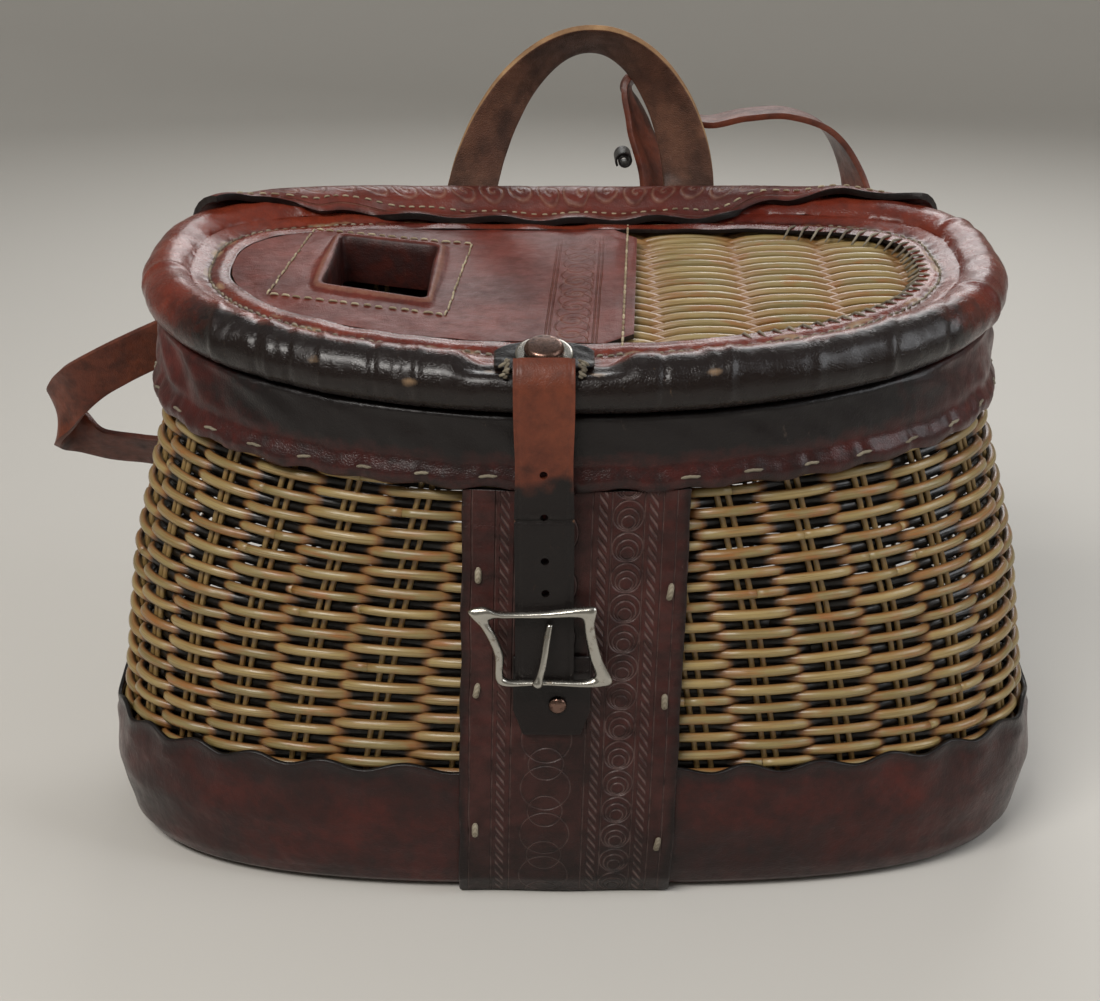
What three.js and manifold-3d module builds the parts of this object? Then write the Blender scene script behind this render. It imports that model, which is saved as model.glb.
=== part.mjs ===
// Fishing creel: an oval wicker basket with a leather base, collar, lid and straps.
// Millimetres, +Z up, +X to the right, the front faces -Y.
// The origin is on the floor below the middle of the base.

import * as THREE from 'three';
import { mergeVertices } from 'three/addons/utils/BufferGeometryUtils.js';
import Module from 'manifold-3d';

const wasm = await Module();
wasm.setup();

// Clearances
const GAP = 0.3;

// Basket
const BODY_HALF_WIDTH = 178.5;
const FRONT_REACH = 86;
const BACK_REACH = 82;
const BODY_HEIGHT = 185;
const WICKER_WALL = 8;
const WICKER_FLOOR = 8;
const TOP_TILT = 0.125;
const SIDE_LIFT = 3.2;
const STAKE_PAIRS = 30;

// Leather on the basket
const BASE_HEIGHT = 53;
const BASE_LEATHER = 2.5;
const BASE_WAVE = 2.5;
const COLLAR_HEIGHT = 26;
const COLLAR_LEATHER = 2.2;
const COLLAR_PUCKER = 1.6;
const COLLAR_FOLDS = 23;

// Front panel
const PANEL_WIDTH = 77;
const PANEL_LEATHER = 2.4;
const PANEL_SHIFT = 4;

// Lid
const ROLL_RADIUS = 9.5;
const ROLL_LUMP = 0.6;
const ROLL_LUMPS = 31;
const RIM_INSET = 1.5;
const BORDER_WIDTH = 23;
const BORDER_LEATHER = 2.4;
const LID_WALL = 7.5;
const LID_STEP = 0.5;
const LID_DOME = 2;
const LID_LEATHER = 2.4;
const COVER_EDGE = 22.5;
const COVER_SLANT = 0.057;

// Fish hole
const HOLE_X = -72.5;
const HOLE_Y = 8;
const HOLE_WIDTH = 39;
const HOLE_LENGTH = 56;
const HOLE_CORNER = 4;
const LINING_LEATHER = 2;
const LINING_LIP = 1.4;
const LINING_DEPTH = 7;

// Hinge flap
const FLAP_REACH = 23;
const FLAP_LEATHER = 2.6;
const FLAP_WAVE = 1.4;
const FLAP_WAVES = 8;
const FLAP_DROP = 38;
const FLAP_MARGIN = 15.2;

// Latch
const LATCH_X = -11;
const LATCH_INSET = 2.5;
const LATCH_DENT = 4;
const LATCH_LEAN = 18;
const CLOSURE_WIDTH = 20;
const CLOSURE_LEATHER = 2.8;
const TAB_WIDTH = 33;
const TAB_LENGTH = 17;
const TAB_LEATHER = 1.6;
const WASHER_RADIUS = 9.6;
const WASHER_METAL = 1.2;
const CAP_RADIUS = 6.6;
const CAP_HEIGHT = 3;

// Buckle
const BUCKLE_WIDTH = 36;
const BUCKLE_HEIGHT = 27;
const BUCKLE_WIRE = 3.6;
const BUCKLE_Z = 106.5;
const TONGUE_WIRE = 2.6;
const TONGUE_LENGTH = 21;
const CHAPE_WIDTH = 27;
const CHAPE_LENGTH = 30;
const CHAPE_LEATHER = 2;
const CHAPE_RIVET_RADIUS = 3.2;
const CHAPE_RIVET_HEIGHT = 1.2;

// Handle and shoulder strap
const HANDLE_SPAN = 112;
const HANDLE_RISE = 73;
const HANDLE_WIDTH = 21;
const HANDLE_LEATHER = 3;
const HANDLE_X = 3;
const HANDLE_FOOT = 30;
const STRAP_WIDTH = 20;
const STRAP_LEATHER = 2.5;
const KEEPER_RADIUS = 4;
const KEEPER_BORE = 1.8;
const KEEPER_LENGTH = 16;
const KEEPER_ASIDE = 7.8;

// Outlines of the basket at a few levels, as shares of the sizes above.
// height: of BODY_HEIGHT. half: of BODY_HALF_WIDTH. front: of FRONT_REACH.
// back and middle (the widest line): of BACK_REACH. tilt: of TOP_TILT. lift: of SIDE_LIFT.
// round and square: how boxy the front and the back are, 2 for an ellipse.
const SECTIONS = [
  {
    height: 0.00, half: 0.925, front: 0.92, back: 0.845, middle: -0.03,
    tilt: 0, lift: 0, round: 3.0, square: 3.0,
  },
  {
    height: 0.045, half: 0.972, front: 0.97, back: 0.92, middle: -0.03,
    tilt: 0, lift: 0, round: 3.0, square: 3.0,
  },
  {
    height: 0.16, half: 1.00, front: 1.00, back: 0.97, middle: -0.02,
    tilt: 0, lift: 0, round: 2.9, square: 3.0,
  },
  {
    height: 0.29, half: 0.987, front: 1.00, back: 0.99, middle: -0.01,
    tilt: 0.1, lift: 0, round: 2.8, square: 3.1,
  },
  {
    height: 0.57, half: 0.947, front: 0.99, back: 0.975, middle: 0.03,
    tilt: 0.4, lift: 0.5, round: 2.5, square: 3.3,
  },
  {
    height: 0.85, half: 0.862, front: 0.942, back: 0.90, middle: 0.09,
    tilt: 0.8, lift: 1, round: 2.2, square: 3.4,
  },
  {
    height: 1.00, half: 0.849, front: 0.965, back: 0.915, middle: 0.12,
    tilt: 1, lift: 1, round: 2.1, square: 3.5,
  },
];

const TOP = sectionAt(BODY_HEIGHT);
const COLLAR_BOTTOM = BODY_HEIGHT - COLLAR_HEIGHT;
const LEATHER_OUT = GAP + BASE_LEATHER;
const COLLAR_OUT = GAP + COLLAR_LEATHER;

// The basket's outline at a height measured at its front.
function sectionAt(height) {
  const share = THREE.MathUtils.clamp(height / BODY_HEIGHT, 0, 1);
  let row = 1;
  while (row < SECTIONS.length - 1 && SECTIONS[row].height < share) row += 1;
  const below = SECTIONS[row - 1];
  const above = SECTIONS[row];
  const mix = (share - below.height) / (above.height - below.height);
  const between = (name, size) => THREE.MathUtils.lerp(below[name], above[name], mix) * size;
  return {
    height,
    half: between('half', BODY_HALF_WIDTH),
    front: between('front', FRONT_REACH),
    back: between('back', BACK_REACH),
    middle: between('middle', BACK_REACH),
    tilt: between('tilt', TOP_TILT),
    lift: between('lift', SIDE_LIFT),
    round: between('round', 1),
    square: between('square', 1),
  };
}

function spread(share, power) {
  return Math.sign(share) * Math.abs(share) ** (2 / power);
}

function heightOver(section, x, y) {
  return section.height + section.tilt * (y + section.front) + section.lift * (x / section.half) ** 2;
}

// A point on the outline of a section, moved outwards by out.
function outlinePoint(section, angle, out = 0) {
  const behind = Math.sin(angle) >= 0;
  const power = behind ? section.square : section.round;
  const depth = behind ? section.back - section.middle : section.front + section.middle;
  const x = (section.half + out) * spread(Math.cos(angle), power);
  const y = section.middle + (depth + out) * spread(Math.sin(angle), power);
  return new THREE.Vector3(x, y, heightOver(section, x, y));
}

function wallPoint(angle, height, out) {
  return outlinePoint(sectionAt(height), angle, out);
}

// A point on the front or the back of the wall, found by its x.
function facePoint(x, height, out, side) {
  const section = sectionAt(height);
  const power = side > 0 ? section.square : section.round;
  const depth = side > 0 ? section.back - section.middle : section.front + section.middle;
  const share = Math.min(Math.abs(x) / (section.half + out), 0.97);
  const y = section.middle + side * (depth + out) * (1 - share ** power) ** (1 / power);
  return new THREE.Vector3(x, y, heightOver(section, x, y));
}

// Angles at equal steps of length round the top of the basket.
const ARC_STEPS = 1440;
const ARC = [0];
for (let i = 1; i <= ARC_STEPS; i += 1) {
  const before = outlinePoint(TOP, (2 * Math.PI * (i - 1)) / ARC_STEPS);
  const after = outlinePoint(TOP, (2 * Math.PI * i) / ARC_STEPS);
  ARC.push(ARC[i - 1] + before.distanceTo(after));
}

function angleAt(share) {
  const length = share * ARC[ARC_STEPS];
  let i = 1;
  while (i < ARC_STEPS && ARC[i] < length) i += 1;
  const mix = (length - ARC[i - 1]) / (ARC[i] - ARC[i - 1]);
  return (2 * Math.PI * (i - 1 + mix)) / ARC_STEPS;
}

function shareAt(angle) {
  const step = (angle / (2 * Math.PI)) * ARC_STEPS;
  const i = Math.min(Math.floor(step), ARC_STEPS - 1);
  return THREE.MathUtils.lerp(ARC[i], ARC[i + 1], step - i) / ARC[ARC_STEPS];
}

// The lid is measured from the plane through the middle of its rolled edge.
function lidPlane(x, y) {
  return heightOver(TOP, x, y) + ROLL_RADIUS + GAP;
}

function rimPoint(angle, out, up) {
  const point = outlinePoint(TOP, angle, out - RIM_INSET);
  point.z = lidPlane(point.x, point.y) + up;
  return point;
}

function lidTop(x, y) {
  const power = y > TOP.middle ? TOP.square : TOP.round;
  const depth = y > TOP.middle ? TOP.back - TOP.middle : TOP.front + TOP.middle;
  const aside = Math.abs(x / TOP.half) ** power;
  const reach = (aside + Math.abs((y - TOP.middle) / depth) ** power) ** (1 / power);
  return lidPlane(x, y) + LID_STEP + LID_DOME * Math.max(0, 1 - reach * reach);
}

// Turns a three.js geometry into one closed body with its faces pointing out.
function closedBody(geometry) {
  geometry.deleteAttribute('normal');
  geometry.deleteAttribute('uv');
  const merged = mergeVertices(geometry, 1e-4);
  const position = merged.getAttribute('position');
  const faces = [];
  let volume = 0;
  const [a, b, c] = [new THREE.Vector3(), new THREE.Vector3(), new THREE.Vector3()];
  const index = merged.getIndex().array;
  for (let i = 0; i < index.length; i += 3) {
    const [p, q, r] = [index[i], index[i + 1], index[i + 2]];
    if (p === q || q === r || r === p) continue;
    faces.push(p, q, r);
    a.fromBufferAttribute(position, p);
    b.fromBufferAttribute(position, q);
    c.fromBufferAttribute(position, r);
    volume += a.dot(b.cross(c));
  }
  if (volume < 0) {
    for (let i = 0; i < faces.length; i += 3) [faces[i], faces[i + 1]] = [faces[i + 1], faces[i]];
  }
  merged.setIndex(faces);
  merged.computeVertexNormals();
  return merged;
}

// A profile of stations carried round the basket. place gives each station's point.
function roundBody(stations, columns, place) {
  const profile = stations.map((station, row) => new THREE.Vector2(1, row));
  const geometry = new THREE.LatheGeometry(profile, columns);
  const position = geometry.getAttribute('position');
  for (let column = 0; column <= columns; column += 1) {
    const angle = angleAt((column % columns) / columns);
    stations.forEach((station, row) => {
      const point = place(angle, station, (column % columns) / columns);
      position.setXYZ(column * stations.length + row, point.x, point.y, point.z);
    });
  }
  return closedBody(geometry);
}

// A wall of even thickness over a surface that is given by two shares.
function sheetBody(columns, rows, thickness, surface) {
  const geometry = new THREE.BoxGeometry(1, 1, 1, columns, rows, 1);
  const position = geometry.getAttribute('position');
  const step = 1e-3;
  for (let i = 0; i < position.count; i += 1) {
    const u = position.getX(i) + 0.5;
    const v = position.getY(i) + 0.5;
    const point = surface(u, v);
    const along = surface(Math.min(u + step, 1), v).sub(surface(Math.max(u - step, 0), v));
    const across = surface(u, Math.min(v + step, 1)).sub(surface(u, Math.max(v - step, 0)));
    const normal = along.cross(across).normalize();
    point.addScaledVector(normal, (position.getZ(i) + 0.5) * thickness);
    position.setXYZ(i, point.x, point.y, point.z);
  }
  return closedBody(geometry);
}

function toSolid(geometry) {
  const position = geometry.getAttribute('position');
  const vertProperties = new Float32Array(position.array);
  const triVerts = new Uint32Array(geometry.getIndex().array);
  return new wasm.Manifold(new wasm.Mesh({ numProp: 3, vertProperties, triVerts }));
}

function fromSolid(solid) {
  const mesh = solid.getMesh();
  const geometry = new THREE.BufferGeometry();
  geometry.setAttribute('position', new THREE.BufferAttribute(mesh.vertProperties, 3));
  geometry.setIndex(Array.from(mesh.triVerts));
  geometry.computeVertexNormals();
  return geometry;
}

// Walls of the basket, from the table

const FLOOR_Z = BASE_LEATHER + GAP;
const WALL_LEVELS = [0.045, 0.16, 0.29, 0.57, 0.85];

function wickerBody() {
  const levels = WALL_LEVELS.map((share) => share * BODY_HEIGHT);
  const inside = [levels[3], levels[1]];
  const inner = (height) => ({ height, out: -WICKER_WALL });
  const stations = [
    { height: FLOOR_Z, out: 0, reach: 0 },
    { height: FLOOR_Z, out: 0 },
    ...levels.map((height) => ({ height, out: 0 })),
    { height: BODY_HEIGHT, out: 0 },
    inner(BODY_HEIGHT),
    ...inside.map(inner),
    inner(FLOOR_Z + WICKER_FLOOR),
    { height: FLOOR_Z + WICKER_FLOOR, out: 0, reach: 0 },
  ];
  return roundBody(stations, 2 * STAKE_PAIRS, (angle, { height, out, reach = 1 }) => {
    const point = wallPoint(angle, height, out);
    const middle = new THREE.Vector3(0, 0, point.z);
    return middle.lerp(point, reach);
  });
}

function baseWrap() {
  const inner = (height) => ({ height, out: GAP });
  const outer = (height) => ({ height, out: LEATHER_OUT });
  const [low, wide] = WALL_LEVELS.map((share) => share * BODY_HEIGHT);
  const stations = [
    { height: 0, out: LEATHER_OUT, reach: 0 },
    outer(0),
    outer(low),
    outer(wide),
    { ...outer(BASE_HEIGHT), edge: true },
    { ...inner(BASE_HEIGHT), edge: true },
    inner(wide),
    inner(low),
    inner(BASE_LEATHER),
    { height: BASE_LEATHER, out: GAP, reach: 0 },
  ];
  return roundBody(stations, 4 * STAKE_PAIRS, (angle, { height, out, reach = 1, edge }, share) => {
    const wave = edge ? BASE_WAVE * Math.cos(2 * Math.PI * STAKE_PAIRS * share) : 0;
    const point = wallPoint(angle, height + wave, out);
    return new THREE.Vector3(0, 0, point.z).lerp(point, reach);
  });
}

function collar() {
  const stations = [
    { height: COLLAR_BOTTOM, out: GAP, fold: 0 },
    { height: COLLAR_BOTTOM, out: COLLAR_OUT, fold: 1 },
    { height: COLLAR_BOTTOM + 0.5 * COLLAR_HEIGHT, out: COLLAR_OUT, fold: 0.8 },
    { height: BODY_HEIGHT, out: COLLAR_OUT, fold: 0.2 },
    { height: BODY_HEIGHT, out: GAP, fold: 0 },
    { height: COLLAR_BOTTOM, out: GAP, fold: 0 },
  ];
  return roundBody(stations, 4 * STAKE_PAIRS, (angle, { height, out, fold }, share) => {
    const turn = 2 * Math.PI * share;
    const pucker = 0.5 + 0.5 * Math.sin(COLLAR_FOLDS * turn + 2 * Math.sin(3 * turn));
    return wallPoint(angle, height, out + COLLAR_PUCKER * fold * pucker);
  });
}

// The panel's outer side, where the closure strap and the buckle lie.
function panelOut(height) {
  const overBase = BASE_HEIGHT + BASE_WAVE + GAP;
  const mix = THREE.MathUtils.smoothstep(height, overBase, overBase + 25);
  return THREE.MathUtils.lerp(LEATHER_OUT + GAP, 2 * GAP, mix);
}

function panelPoint(x, height, out) {
  return facePoint(x, height, panelOut(height) + out, -1);
}

// The value at a share of the way along a list of evenly spaced stops.
function stopAt(stops, share) {
  const at = share * (stops.length - 1);
  const before = Math.min(Math.floor(at), stops.length - 2);
  return THREE.MathUtils.lerp(stops[before], stops[before + 1], at - before);
}

function frontPanel() {
  const [low, wide, , middle] = WALL_LEVELS.map((share) => share * BODY_HEIGHT);
  const overBase = BASE_HEIGHT + BASE_WAVE + GAP;
  const top = COLLAR_BOTTOM - 2 * GAP;
  const stops = [PANEL_LEATHER, low, wide, BASE_HEIGHT, overBase, overBase + 12, overBase + 25];
  stops.push(middle, (middle + top) / 2, top);
  return sheetBody(6, stops.length - 1, PANEL_LEATHER, (u, v) => {
    const shift = PANEL_SHIFT * (1 - v);
    return panelPoint(PANEL_WIDTH * (u - 0.5) - shift, stopAt(stops, v), 0);
  });
}

// Lid

function lidPlate(under, over, out, columns) {
  const stations = [
    { reach: 0, up: over },
    { reach: 0.45, up: over },
    { reach: 0.8, up: over },
    { reach: 1, up: over },
    { reach: 1, up: under },
    { reach: 0.5, up: under },
    { reach: 0, up: under },
  ];
  return roundBody(stations, columns, (angle, { reach, up }) => {
    const edge = rimPoint(angle, out, 0);
    const point = new THREE.Vector3(0, TOP.middle, 0).lerp(edge, reach);
    point.z = lidTop(point.x, point.y) + up;
    return point;
  });
}

const HOLE_CORNERS = [
  { across: -0.47, along: 0.56 },
  { across: 0.56, along: 0.36 },
  { across: 0.52, along: -0.61 },
  { across: -0.53, along: -0.36 },
];

// The fish hole's outline, grown outwards by grow.
function holeShape(grow) {
  const corners = HOLE_CORNERS.map(({ across, along }) => new THREE.Vector2(
    HOLE_X + across * HOLE_WIDTH + Math.sign(across) * grow,
    HOLE_Y + along * HOLE_LENGTH + Math.sign(along) * grow,
  ));
  const shape = new THREE.Shape();
  corners.forEach((corner, i) => {
    const before = corners[(i + 3) % 4];
    const after = corners[(i + 1) % 4];
    const start = corner.clone().lerp(before, HOLE_CORNER / corner.distanceTo(before));
    const end = corner.clone().lerp(after, HOLE_CORNER / corner.distanceTo(after));
    if (i === 0) shape.moveTo(start.x, start.y);
    else shape.lineTo(start.x, start.y);
    shape.quadraticCurveTo(corner.x, corner.y, end.x, end.y);
  });
  shape.closePath();
  return shape;
}

function holePrism(grow, depth) {
  const prism = new THREE.ExtrudeGeometry(holeShape(grow), { depth, bevelEnabled: false, curveSegments: 2 });
  return toSolid(closedBody(prism));
}

function cutHole(geometry) {
  return toSolid(geometry).subtract(holePrism(0, 2 * BODY_HEIGHT));
}

function lidWicker() {
  const plate = lidPlate(-LID_WALL, 0, -ROLL_RADIUS - 2 * GAP, 2 * STAKE_PAIRS);
  return fromSolid(cutHole(plate));
}

function lidCover() {
  const slab = lidPlate(GAP, GAP + LID_LEATHER, -BORDER_WIDTH - 2 * GAP, 2 * STAKE_PAIRS);
  const keep = new THREE.BoxGeometry(BODY_HALF_WIDTH * 2, FRONT_REACH * 4, BODY_HEIGHT * 2);
  keep.translate(COVER_EDGE - BODY_HALF_WIDTH, 0, BODY_HEIGHT);
  keep.applyMatrix4(new THREE.Matrix4().makeShear(0, 0, COVER_SLANT, 0, 0, 0));
  return fromSolid(cutHole(slab).intersect(toSolid(closedBody(keep))));
}

function holeLining() {
  const depth = LINING_DEPTH + LID_WALL + LID_LEATHER + LINING_LIP;
  const bore = holePrism(-GAP - LINING_LEATHER, 3 * depth).translate(0, 0, -depth);
  const geometry = fromSolid(holePrism(-GAP, depth).subtract(bore));
  const position = geometry.getAttribute('position');
  for (let i = 0; i < position.count; i += 1) {
    const [x, y] = [position.getX(i), position.getY(i)];
    position.setZ(i, lidTop(x, y) + position.getZ(i) - LID_WALL - LINING_DEPTH);
  }
  return closedBody(geometry);
}

// Points of the roll are given by their angle round it, those of the border by out.
const RIM_PROFILE = [
  { out: -BORDER_WIDTH, strip: 0 },
  { out: -0.93 * ROLL_RADIUS, strip: 0 },
  { turn: 182 }, { turn: 226 }, { turn: 270 }, { turn: 314 }, { turn: 0 }, { turn: 45 }, { turn: 90 },
  { turn: 126 }, { turn: 157 },
  { out: -BORDER_WIDTH, strip: 1 },
  { out: -BORDER_WIDTH, strip: 0 },
];

function rollPoint(angle, turn, radius) {
  const lean = THREE.MathUtils.degToRad(turn);
  return rimPoint(angle, radius * Math.cos(lean), radius * Math.sin(lean));
}

// 1 under the latch, 0 away from it.
function latchReach(angle) {
  const aside = Math.abs(rimPoint(angle, 0, 0).x - LATCH_X);
  const under = TAB_WIDTH / 2;
  return Math.sin(angle) < 0 ? 1 - THREE.MathUtils.smoothstep(aside, under + 3, under + 14) : 0;
}

function lidRim() {
  return roundBody(RIM_PROFILE, 3 * STAKE_PAIRS, (angle, { out, strip, turn }, share) => {
    if (turn === undefined) {
      const point = rimPoint(angle, out, 0);
      point.z = lidTop(point.x, point.y) + GAP + strip * BORDER_LEATHER;
      return point;
    }
    const outer = turn < 100 ? 1 : 0;
    const wave = Math.sin(2 * Math.PI * ROLL_LUMPS * share + 3 * Math.sin(4 * Math.PI * share));
    const dent = turn > 40 && turn < 150 ? LATCH_DENT * latchReach(angle) : 0;
    return rollPoint(angle, turn, ROLL_RADIUS + outer * ROLL_LUMP * wave - dent);
  });
}

// Hinge flap: over the back of the roll and down the back of the collar.
// along: share of the way from the right tip to the left one. reach: of FLAP_REACH.
const FLAP_EDGE = [
  { along: 0, reach: -0.25 },
  { along: 0.09, reach: 0.05 },
  { along: 0.18, reach: 0.42 },
  { along: 0.3, reach: 0.9 },
  { along: 0.5, reach: 0.98 },
  { along: 0.68, reach: 0.9 },
  { along: 0.86, reach: 0.62 },
  { along: 0.94, reach: 0.15 },
  { along: 1, reach: -0.1 },
];
const ROLL_CLEAR = ROLL_RADIUS + ROLL_LUMP + GAP;
const FLAP_CLEAR = ROLL_CLEAR + 2 * GAP;

function tableValue(table, key, at, name) {
  let row = 1;
  while (row < table.length - 1 && table[row][key] < at) row += 1;
  const [before, after] = [table[row - 1], table[row]];
  return THREE.MathUtils.lerp(before[name], after[name], (at - before[key]) / (after[key] - before[key]));
}

// The line under the flap at one angle, from far in on the lid to its lower end.
function flapLine(angle) {
  const lid = [-1.4 * FLAP_REACH, -0.8 * FLAP_REACH, -ROLL_RADIUS - 1].map((out) => {
    const point = rimPoint(angle, out, 0);
    point.z = lidTop(point.x, point.y) + 3 * GAP + Math.max(BORDER_LEATHER, LID_LEATHER);
    return point;
  });
  const roll = [120, 90, 60, 30, 0].map((turn) => rollPoint(angle, turn, FLAP_CLEAR));
  const onCollar = COLLAR_OUT + COLLAR_PUCKER + GAP;
  const back = [0.25, 1].map((share) => wallPoint(angle, BODY_HEIGHT - share * FLAP_DROP, onCollar));
  return [...lid, ...roll, ...back];
}

function lengthsOf(points) {
  const lengths = [0];
  for (let i = 1; i < points.length; i += 1) {
    lengths.push(lengths[i - 1] + points[i].distanceTo(points[i - 1]));
  }
  return lengths;
}

function pointAlong(points, lengths, length) {
  let i = 1;
  while (i < points.length - 1 && lengths[i] < length) i += 1;
  const mix = (length - lengths[i - 1]) / (lengths[i] - lengths[i - 1]);
  return points[i - 1].clone().lerp(points[i], mix);
}

const FLAP_ROWS = 9;
const FLAP_LEAST = 0.8;
const FLAP_TOP_STATION = 4;
const FLAP_SIDE_STATION = 7;

function hingeFlap() {
  const span = 1 - FLAP_MARGIN / TOP.half;
  const first = shareAt(Math.acos(span ** (TOP.square / 2)));
  const last = 0.5 - first;
  return sheetBody(30, FLAP_ROWS, -FLAP_LEATHER, (u, v) => {
    const points = flapLine(angleAt(THREE.MathUtils.lerp(first, last, u)));
    const lengths = lengthsOf(points);
    const wave = FLAP_WAVE * Math.cos(2 * Math.PI * FLAP_WAVES * u);
    const reach = FLAP_REACH * tableValue(FLAP_EDGE, 'along', u, 'reach') + wave;
    const start = lengths[FLAP_TOP_STATION] - reach;
    const inwards = THREE.MathUtils.smoothstep(Math.min(u, 1 - u), 0.02, 0.16);
    const end = THREE.MathUtils.lerp(lengths[FLAP_SIDE_STATION], lengths[lengths.length - 1], inwards);
    const stops = lengths.map((length, i) => (i === 0 ? start : THREE.MathUtils.clamp(
      length, start + i * FLAP_LEAST, end - (lengths.length - 1 - i) * FLAP_LEAST)));
    return pointAlong(points, lengths, stopAt(stops, v));
  });
}

// A band along a curve: at is the middle of its under side, broad the way of its width.
function bandBody(rows, width, thickness, steps) {
  const middle = new THREE.CatmullRomCurve3(rows.map((row) => row.at), false, 'centripetal');
  const breadth = new THREE.CatmullRomCurve3(rows.map((row) => row.broad));
  return sheetBody(1, steps, thickness, (u, v) => {
    const ahead = middle.getTangent(v);
    const broad = breadth.getPoint(v);
    broad.addScaledVector(ahead, -broad.dot(ahead)).normalize();
    return middle.getPoint(v).addScaledVector(broad, (u - 0.5) * width);
  });
}

// Latch: the roll is pressed in under it, and its washer leans forwards.
function latchPoint(across, inwards, up) {
  const lean = THREE.MathUtils.degToRad(90 - LATCH_LEAN);
  const front = facePoint(LATCH_X, BODY_HEIGHT, -RIM_INSET, -1);
  const seat = (ROLL_CLEAR - LATCH_DENT + LATCH_INSET * Math.cos(lean)) / Math.sin(lean);
  const y = front.y + LATCH_INSET + inwards * Math.sin(lean) - up * Math.cos(lean);
  const z = lidPlane(LATCH_X, front.y) + seat + inwards * Math.cos(lean) + up * Math.sin(lean);
  return new THREE.Vector3(LATCH_X + across, y, z);
}

function latchTab() {
  return sheetBody(8, 2, TAB_LEATHER, (u, v) => {
    const narrow = Math.sqrt(1 - 0.75 * (2 * u - 1) ** 2);
    return latchPoint(TAB_WIDTH * (u - 0.5), TAB_LENGTH * (v - 0.5) * narrow, 0);
  });
}

// Layers in front of the panel: chape, closure strap, buckle frame
const CHAPE_OUT = PANEL_LEATHER + GAP;
const CLOSURE_OUT = CHAPE_OUT + CHAPE_LEATHER + GAP;
const FRAME_OUT = CLOSURE_OUT + CLOSURE_LEATHER + GAP + BUCKLE_WIRE / 2;

function closureStrap() {
  const front = facePoint(LATCH_X, BODY_HEIGHT, -RIM_INSET, -1);
  const rollMiddle = new THREE.Vector3(LATCH_X, front.y, lidPlane(LATCH_X, front.y));
  const over = [[50, 0], [36, 0], [20, 0], [5, 0]].map(([turn, out]) => {
    const lean = THREE.MathUtils.degToRad(turn);
    const step = new THREE.Vector3(0, -Math.cos(lean), Math.sin(lean));
    return step.multiplyScalar(ROLL_CLEAR + out).add(rollMiddle);
  });
  const hang = over[3].clone().add(new THREE.Vector3(0, 0, -ROLL_RADIUS));
  const low = [0.65, 0, -0.68].map((share) => (
    panelPoint(LATCH_X, BUCKLE_Z + share * BUCKLE_HEIGHT, CLOSURE_OUT)));
  const sag = hang.clone().lerp(low[0], 0.55);
  const rows = [...over, hang, sag, ...low];
  const broad = new THREE.Vector3(1, 0, 0);
  return bandBody(rows.map((at) => ({ at, broad })), CLOSURE_WIDTH, -CLOSURE_LEATHER, 28);
}

// A turned piece that stands on the lid or on the panel.
function seated(profile, segments, base, outwards) {
  const geometry = new THREE.LatheGeometry(profile.map(([r, z]) => new THREE.Vector2(r, z)), segments);
  const turn = new THREE.Quaternion().setFromUnitVectors(new THREE.Vector3(0, 1, 0), outwards);
  geometry.applyQuaternion(turn);
  geometry.translate(base.x, base.y, base.z);
  return closedBody(geometry);
}

function latchNormal() {
  return latchPoint(0, 0, 1).sub(latchPoint(0, 0, 0)).normalize();
}

const WASHER_UP = TAB_LEATHER + GAP;
const CAP_UP = WASHER_UP + WASHER_METAL + GAP;

function latchWasher() {
  const profile = [[0, 0], [WASHER_RADIUS, 0], [WASHER_RADIUS - 0.8, WASHER_METAL], [0, WASHER_METAL]];
  return seated(profile, 24, latchPoint(0, 0, WASHER_UP), latchNormal());
}

function rivetCap() {
  const profile = [
    [0, 0], [CAP_RADIUS, 0], [0.94 * CAP_RADIUS, 0.4 * CAP_HEIGHT], [0.7 * CAP_RADIUS, 0.8 * CAP_HEIGHT],
    [0.35 * CAP_RADIUS, CAP_HEIGHT], [0, CAP_HEIGHT],
  ];
  return seated(profile, 20, latchPoint(0, 0, CAP_UP), latchNormal());
}

// Buckle
const BUCKLE_X = LATCH_X - 0.5;
// Corners and the waists between them, as shares of BUCKLE_WIDTH and BUCKLE_HEIGHT.
const FRAME_CORNERS = [
  { across: 0.43, along: 0.55 },
  { across: -0.02, along: 0.46 },
  { across: -0.56, along: 0.44 },
  { across: -0.40, along: -0.05 },
  { across: -0.28, along: -0.53 },
  { across: 0.10, along: -0.47 },
  { across: 0.58, along: -0.50 },
  { across: 0.47, along: 0.02 },
];

function framePoint(across, along, out) {
  const flat = panelPoint(BUCKLE_X, BUCKLE_Z, out);
  return flat.add(new THREE.Vector3(across * BUCKLE_WIDTH, 0, along * BUCKLE_HEIGHT));
}

const FRAME_SIDES = 6;
const FRAME_STEPS = 32;

function buckleFrame() {
  const points = FRAME_CORNERS.map(({ across, along }) => framePoint(across, along, FRAME_OUT));
  const path = new THREE.CatmullRomCurve3(points, true, 'catmullrom', 0.35);
  const geometry = new THREE.TorusGeometry(1, 0.5, FRAME_SIDES, FRAME_STEPS);
  const position = geometry.getAttribute('position');
  const front = new THREE.Vector3(0, -1, 0);
  for (let i = 0; i < position.count; i += 1) {
    const step = (i % (FRAME_STEPS + 1)) % FRAME_STEPS;
    const ring = Math.floor(i / (FRAME_STEPS + 1)) % FRAME_SIDES;
    const turn = (2 * Math.PI * ring) / FRAME_SIDES;
    const side = path.getTangent(step / FRAME_STEPS).cross(front).normalize();
    const at = path.getPoint(step / FRAME_STEPS);
    at.addScaledVector(side, (Math.cos(turn) * BUCKLE_WIRE) / 2);
    at.addScaledVector(front, (Math.sin(turn) * BUCKLE_WIRE) / 2);
    position.setXYZ(i, at.x, at.y, at.z);
  }
  return closedBody(geometry);
}

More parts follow.
